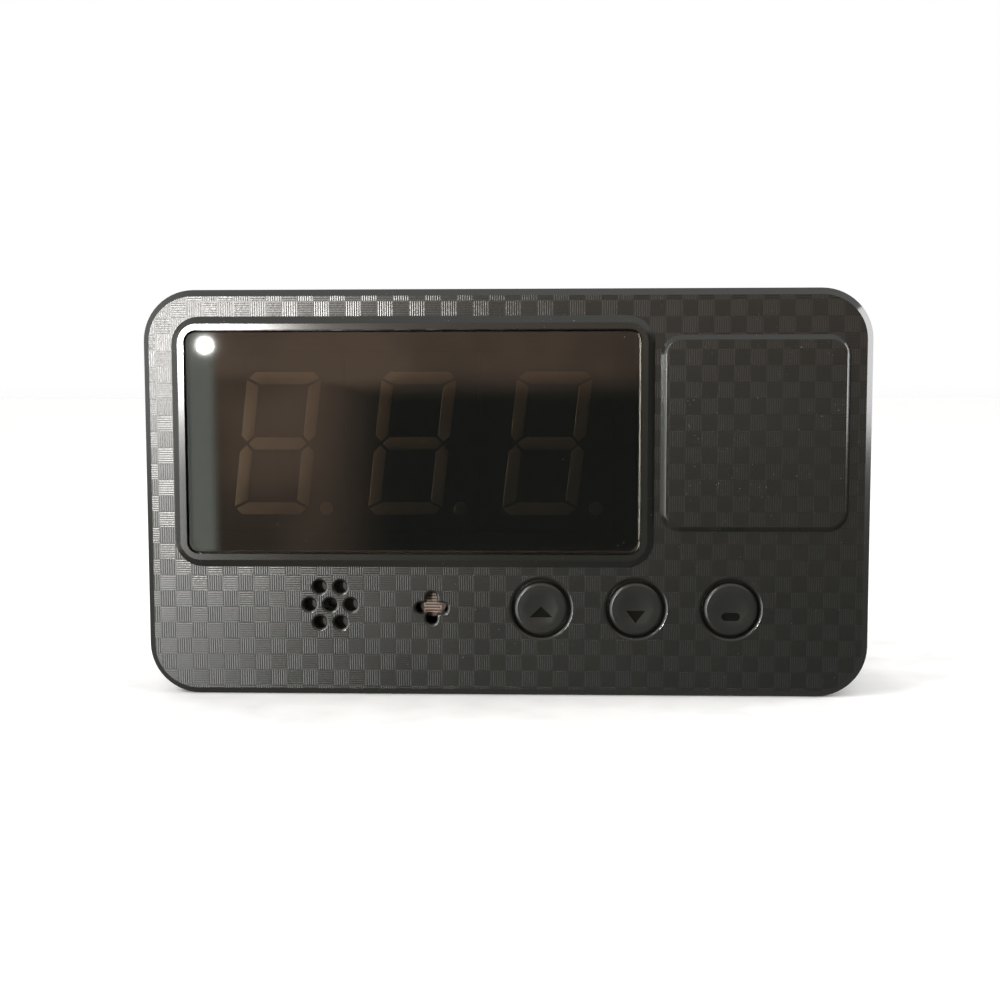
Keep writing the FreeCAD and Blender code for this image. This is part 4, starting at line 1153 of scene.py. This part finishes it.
@dataclass
class Inside:
    """The board and what is on it: the CAD forms with their finishes, and softened edges on moulded parts."""

    wardrobe: Wardrobe
    softened: dict[str, float] = field(default_factory=lambda: {
        "controller_chip": 0.12 * MM, "driver_chip": 0.15 * MM, "regulator_body": 0.15 * MM,
        "protection_diode": 0.15 * MM, "clock_crystal": 0.6 * MM, "power_coil": 0.3 * MM,
        "filter_capacitors": 0.35 * MM, "capacitor_bases": 0.1 * MM, "chip_resistors": 0.06 * MM,
        "chip_capacitors": 0.08 * MM, "buzzer_shell": 0.25 * MM, "circuit_board": 0.0,
    })

    def build(self) -> None:
        """Makes the softened parts, then dresses every node that is still a CAD object."""
        for node, edge in self.softened.items():
            self.wardrobe.stand_in(skin_of(node, edge), node)
        for key in KEYS:
            for part, edge in (("base", 0.12 * MM), ("cover", 0.04 * MM), ("plunger", 0.15 * MM)):
                node = f"switch_{key}_{part}"
                self.wardrobe.stand_in(skin_of(node, edge), node)
        for node, obj in frame["nodes"].items():
            self.wardrobe.dress(obj, self.wardrobe.slots[node])


# ---------------------------------------------------------------- studio


@dataclass
class Camera:
    """The camera, placed round the middle of the face."""

    azimuth: float = 2.17
    elevation: float = 4.85
    distance: float = 250 * MM
    aim: Vector = field(default_factory=lambda: Vector((-0.9, -12.5, 35.04)) * MM)
    roll: float = 0.1
    view_angle: float = 38.82
    nearest: float = 10 * MM

    def build(self) -> None:
        """Adds the camera and makes it the scene's own."""
        turn, rise = math.radians(self.azimuth), math.radians(self.elevation)
        out = Vector((math.sin(turn) * math.cos(rise), -math.cos(turn) * math.cos(rise), math.sin(rise)))
        bpy.ops.object.camera_add(location=self.aim + out * self.distance)
        camera = bpy.context.object
        camera.rotation_euler = (-out).to_track_quat("-Z", "Y").to_euler()
        camera.rotation_euler.rotate_axis("Z", math.radians(-self.roll))
        camera.data.angle = math.radians(self.view_angle)
        camera.data.clip_start = self.nearest
        bpy.context.scene.camera = camera


@dataclass
class Lamp:
    """One area light, aimed at a point."""

    name: str
    place: Vector
    size: tuple[float, float]
    power: float
    colour: Colour = (1.0, 1.0, 1.0)
    aim: Vector = field(default_factory=lambda: Vector((0, 0, 0.036)))
    round: bool = False
    through_lens: bool = True

    def build(self) -> None:
        """Adds the light."""
        bpy.ops.object.light_add(type="AREA", location=self.place)
        lamp = bpy.context.object
        lamp.name = self.name
        lamp.rotation_euler = (self.aim - self.place).to_track_quat("-Z", "Y").to_euler()
        lamp.data.shape = "DISK" if self.round else "RECTANGLE"
        lamp.data.size, lamp.data.size_y = self.size
        lamp.data.energy = self.power
        lamp.data.color = self.colour
        lamp.visible_camera = False
        lamp.visible_transmission = self.through_lens


@dataclass
class Studio:
    """A pale room with a dim side that faces the display, a bright wall to its left, lamps and a floor.

    A direction in the room is given by how far it goes to the right and up for each metre towards the front.
    """

    lamps: tuple[Lamp, ...] = (
        Lamp("pinpoint", Vector((-0.2984, -1.01, 0.0867)), (0.011, 0.011), 3.2, (1.0, 0.97, 0.94),
             round=True, through_lens=False),
        Lamp("upper_left", Vector((-0.62, -0.45, 0.66)), (0.36, 0.36), 4.0),
        Lamp("right_side", Vector((0.9, 0.16, 0.30)), (0.30, 0.6), 4.0),
    )
    surround: float = 1.0
    dim: Colour = (0.11, 0.127, 0.118)
    warm: Colour = (1.15, 0.85, 0.65)
    card: Colour = (1.55, 1.7, 1.55)
    ceiling: Colour = (0.9, 0.9, 0.88)
    ground: Colour = (0.22, 0.22, 0.21)
    left_bank: Colour = (3.0, 3.0, 2.9)
    wall: Colour = (16.0, 16.0, 15.68)
    low_wall: float = 0.55
    warm_sill: Span = (-0.016, 0.012)
    warm_rise: Span = (-0.05, 0.2)
    warm_fall: Span = (0.3, 0.55)
    column_side: Span = (0.11, 0.19)
    column_foot: Span = (-0.22, 0.02)
    ceiling_edge: Span = (0.3, 0.6)
    steep: Span = (0.3, 0.5)
    card_edge: Span = (0.236, 0.246)
    bank_edge: Span = (0.45, 0.7)
    wall_near: Span = (0.285, 0.32)
    wall_far: Span = (0.42, 0.55)
    wall_top: Span = (0.08, 0.2)
    wall_middle: Span = (-0.22, -0.04)
    wall_foot: Span = (-0.42, -0.3)
    ground_edge: Span = (0.0, 0.12)
    front_edge: Span = (-0.08, 0.16)

    def build(self) -> None:
        """Adds the surround, the lamps and the floor, and shows white as white."""
        self.world()
        for lamp in self.lamps:
            lamp.build()
        self.floor()
        bpy.context.scene.view_settings.view_transform = "Standard"

    def world(self) -> None:
        """Paints the room's light by direction."""
        world = bpy.data.worlds.new("room")
        world.use_nodes = True
        bpy.context.scene.world = world
        shader = Shader(world.node_tree)
        x, y, z = shader.split(shader.place(Setting.DIRECTION))
        around = shader.mix((0 - z).ramp(*self.ground_edge), (self.surround,) * 3, self.ground)
        ahead = (0 - y).maths("MAXIMUM", 0.001)
        leftward, up = (0 - x) / ahead, z / ahead

        warm = self.warm_share(shader, x, leftward, up)
        front = shader.mix(warm, self.dim, self.warm)
        front = shader.mix(z.ramp(*self.ceiling_edge), front, self.ceiling)
        level = 1 - z.maths("ABSOLUTE").ramp(*self.steep)
        front = shader.mix(leftward.ramp(*self.card_edge) * level, front, self.card)
        front = shader.mix((0 - x).ramp(*self.bank_edge) * level, front, self.left_bank)
        room = shader.mix((0 - y).ramp(*self.front_edge), around, front)
        bright = shader.mix(self.wall_share(leftward, up), room, self.wall)
        light = shader.node("ShaderNodeBackground", inputs={"Color": bright})
        shader.finish("ShaderNodeOutputWorld", light)

    def warm_share(self, shader: Shader, x: Wire, leftward: Wire, up: Wire) -> Wire:
        """How much of the warm light shows: a band above the sill and a column on the left, in soft blots.

        Args:
            shader: The world's shader.
            x: How far the direction goes to the right.
            leftward: How far it goes to the left for each metre ahead.
            up: How far it goes up for each metre ahead.

        Returns:
            The share, from 0 for the dim light alone.
        """
        band = up.ramp(*self.warm_sill) * (leftward.ramp(*self.warm_rise) * 0.8 + 0.8)
        band = band * (1 - x.ramp(*self.warm_fall))
        column = leftward.ramp(*self.column_side) * (up.ramp(*self.column_foot) * 0.7 + 0.2)
        inputs = {"Vector": shader.place(Setting.DIRECTION), "Scale": 9.0, "Detail": 2.0}
        blots = shader.node("ShaderNodeTexNoise", None, inputs).ramp(0.35, 0.65) * 0.55 + 0.55
        return band.maths("MAXIMUM", column) * blots

    def wall_share(self, leftward: Wire, up: Wire) -> Wire:
        """How much of the bright wall shows: an upright strip on the left that is weaker towards its foot.

        Args:
            leftward: How far the direction goes to the left for each metre ahead.
            up: How far it goes up for each metre ahead.

        Returns:
            The share.
        """
        strip = leftward.ramp(*self.wall_near) * (1 - leftward.ramp(*self.wall_far))
        strip = strip * (1 - up.ramp(*self.wall_top)) * up.ramp(*self.wall_foot)
        return strip * (up.ramp(*self.wall_middle) * (1 - self.low_wall) + self.low_wall)

    def floor(self) -> None:
        """Adds a plain pale floor, which only the camera sees."""
        bpy.ops.object.select_all(action="DESELECT")
        bpy.ops.mesh.primitive_plane_add(size=8, location=(0, 0, 0))
        floor = bpy.context.object
        floor.name = "floor"
        bpy.ops.object.transform_apply(location=True, rotation=True, scale=True)
        floor.data.materials.append(Moulded((0.86, 0.86, 0.86), 0.7, unevenness=0.02).material("pale_floor"))
        floor.visible_glossy = False
        floor.visible_diffuse = False
        floor.visible_transmission = False
        floor.visible_shadow = False


def main() -> None:
    """Builds every sub-assembly, then the studio round them."""
    logging.basicConfig(level=logging.INFO, format="%(message)s")
    wardrobe = Wardrobe()
    builders: tuple[Callable[[], None], ...] = (
        Camera().build,
        Casing(wardrobe).build,
        Display(wardrobe).build,
        LightSensor(wardrobe).build,
        Fasteners(wardrobe).build,
        Socket(wardrobe).build,
        Inside(wardrobe).build,
        Studio().build,
    )
    for build in builders:
        build()


if __name__ == "__main__":
    main()
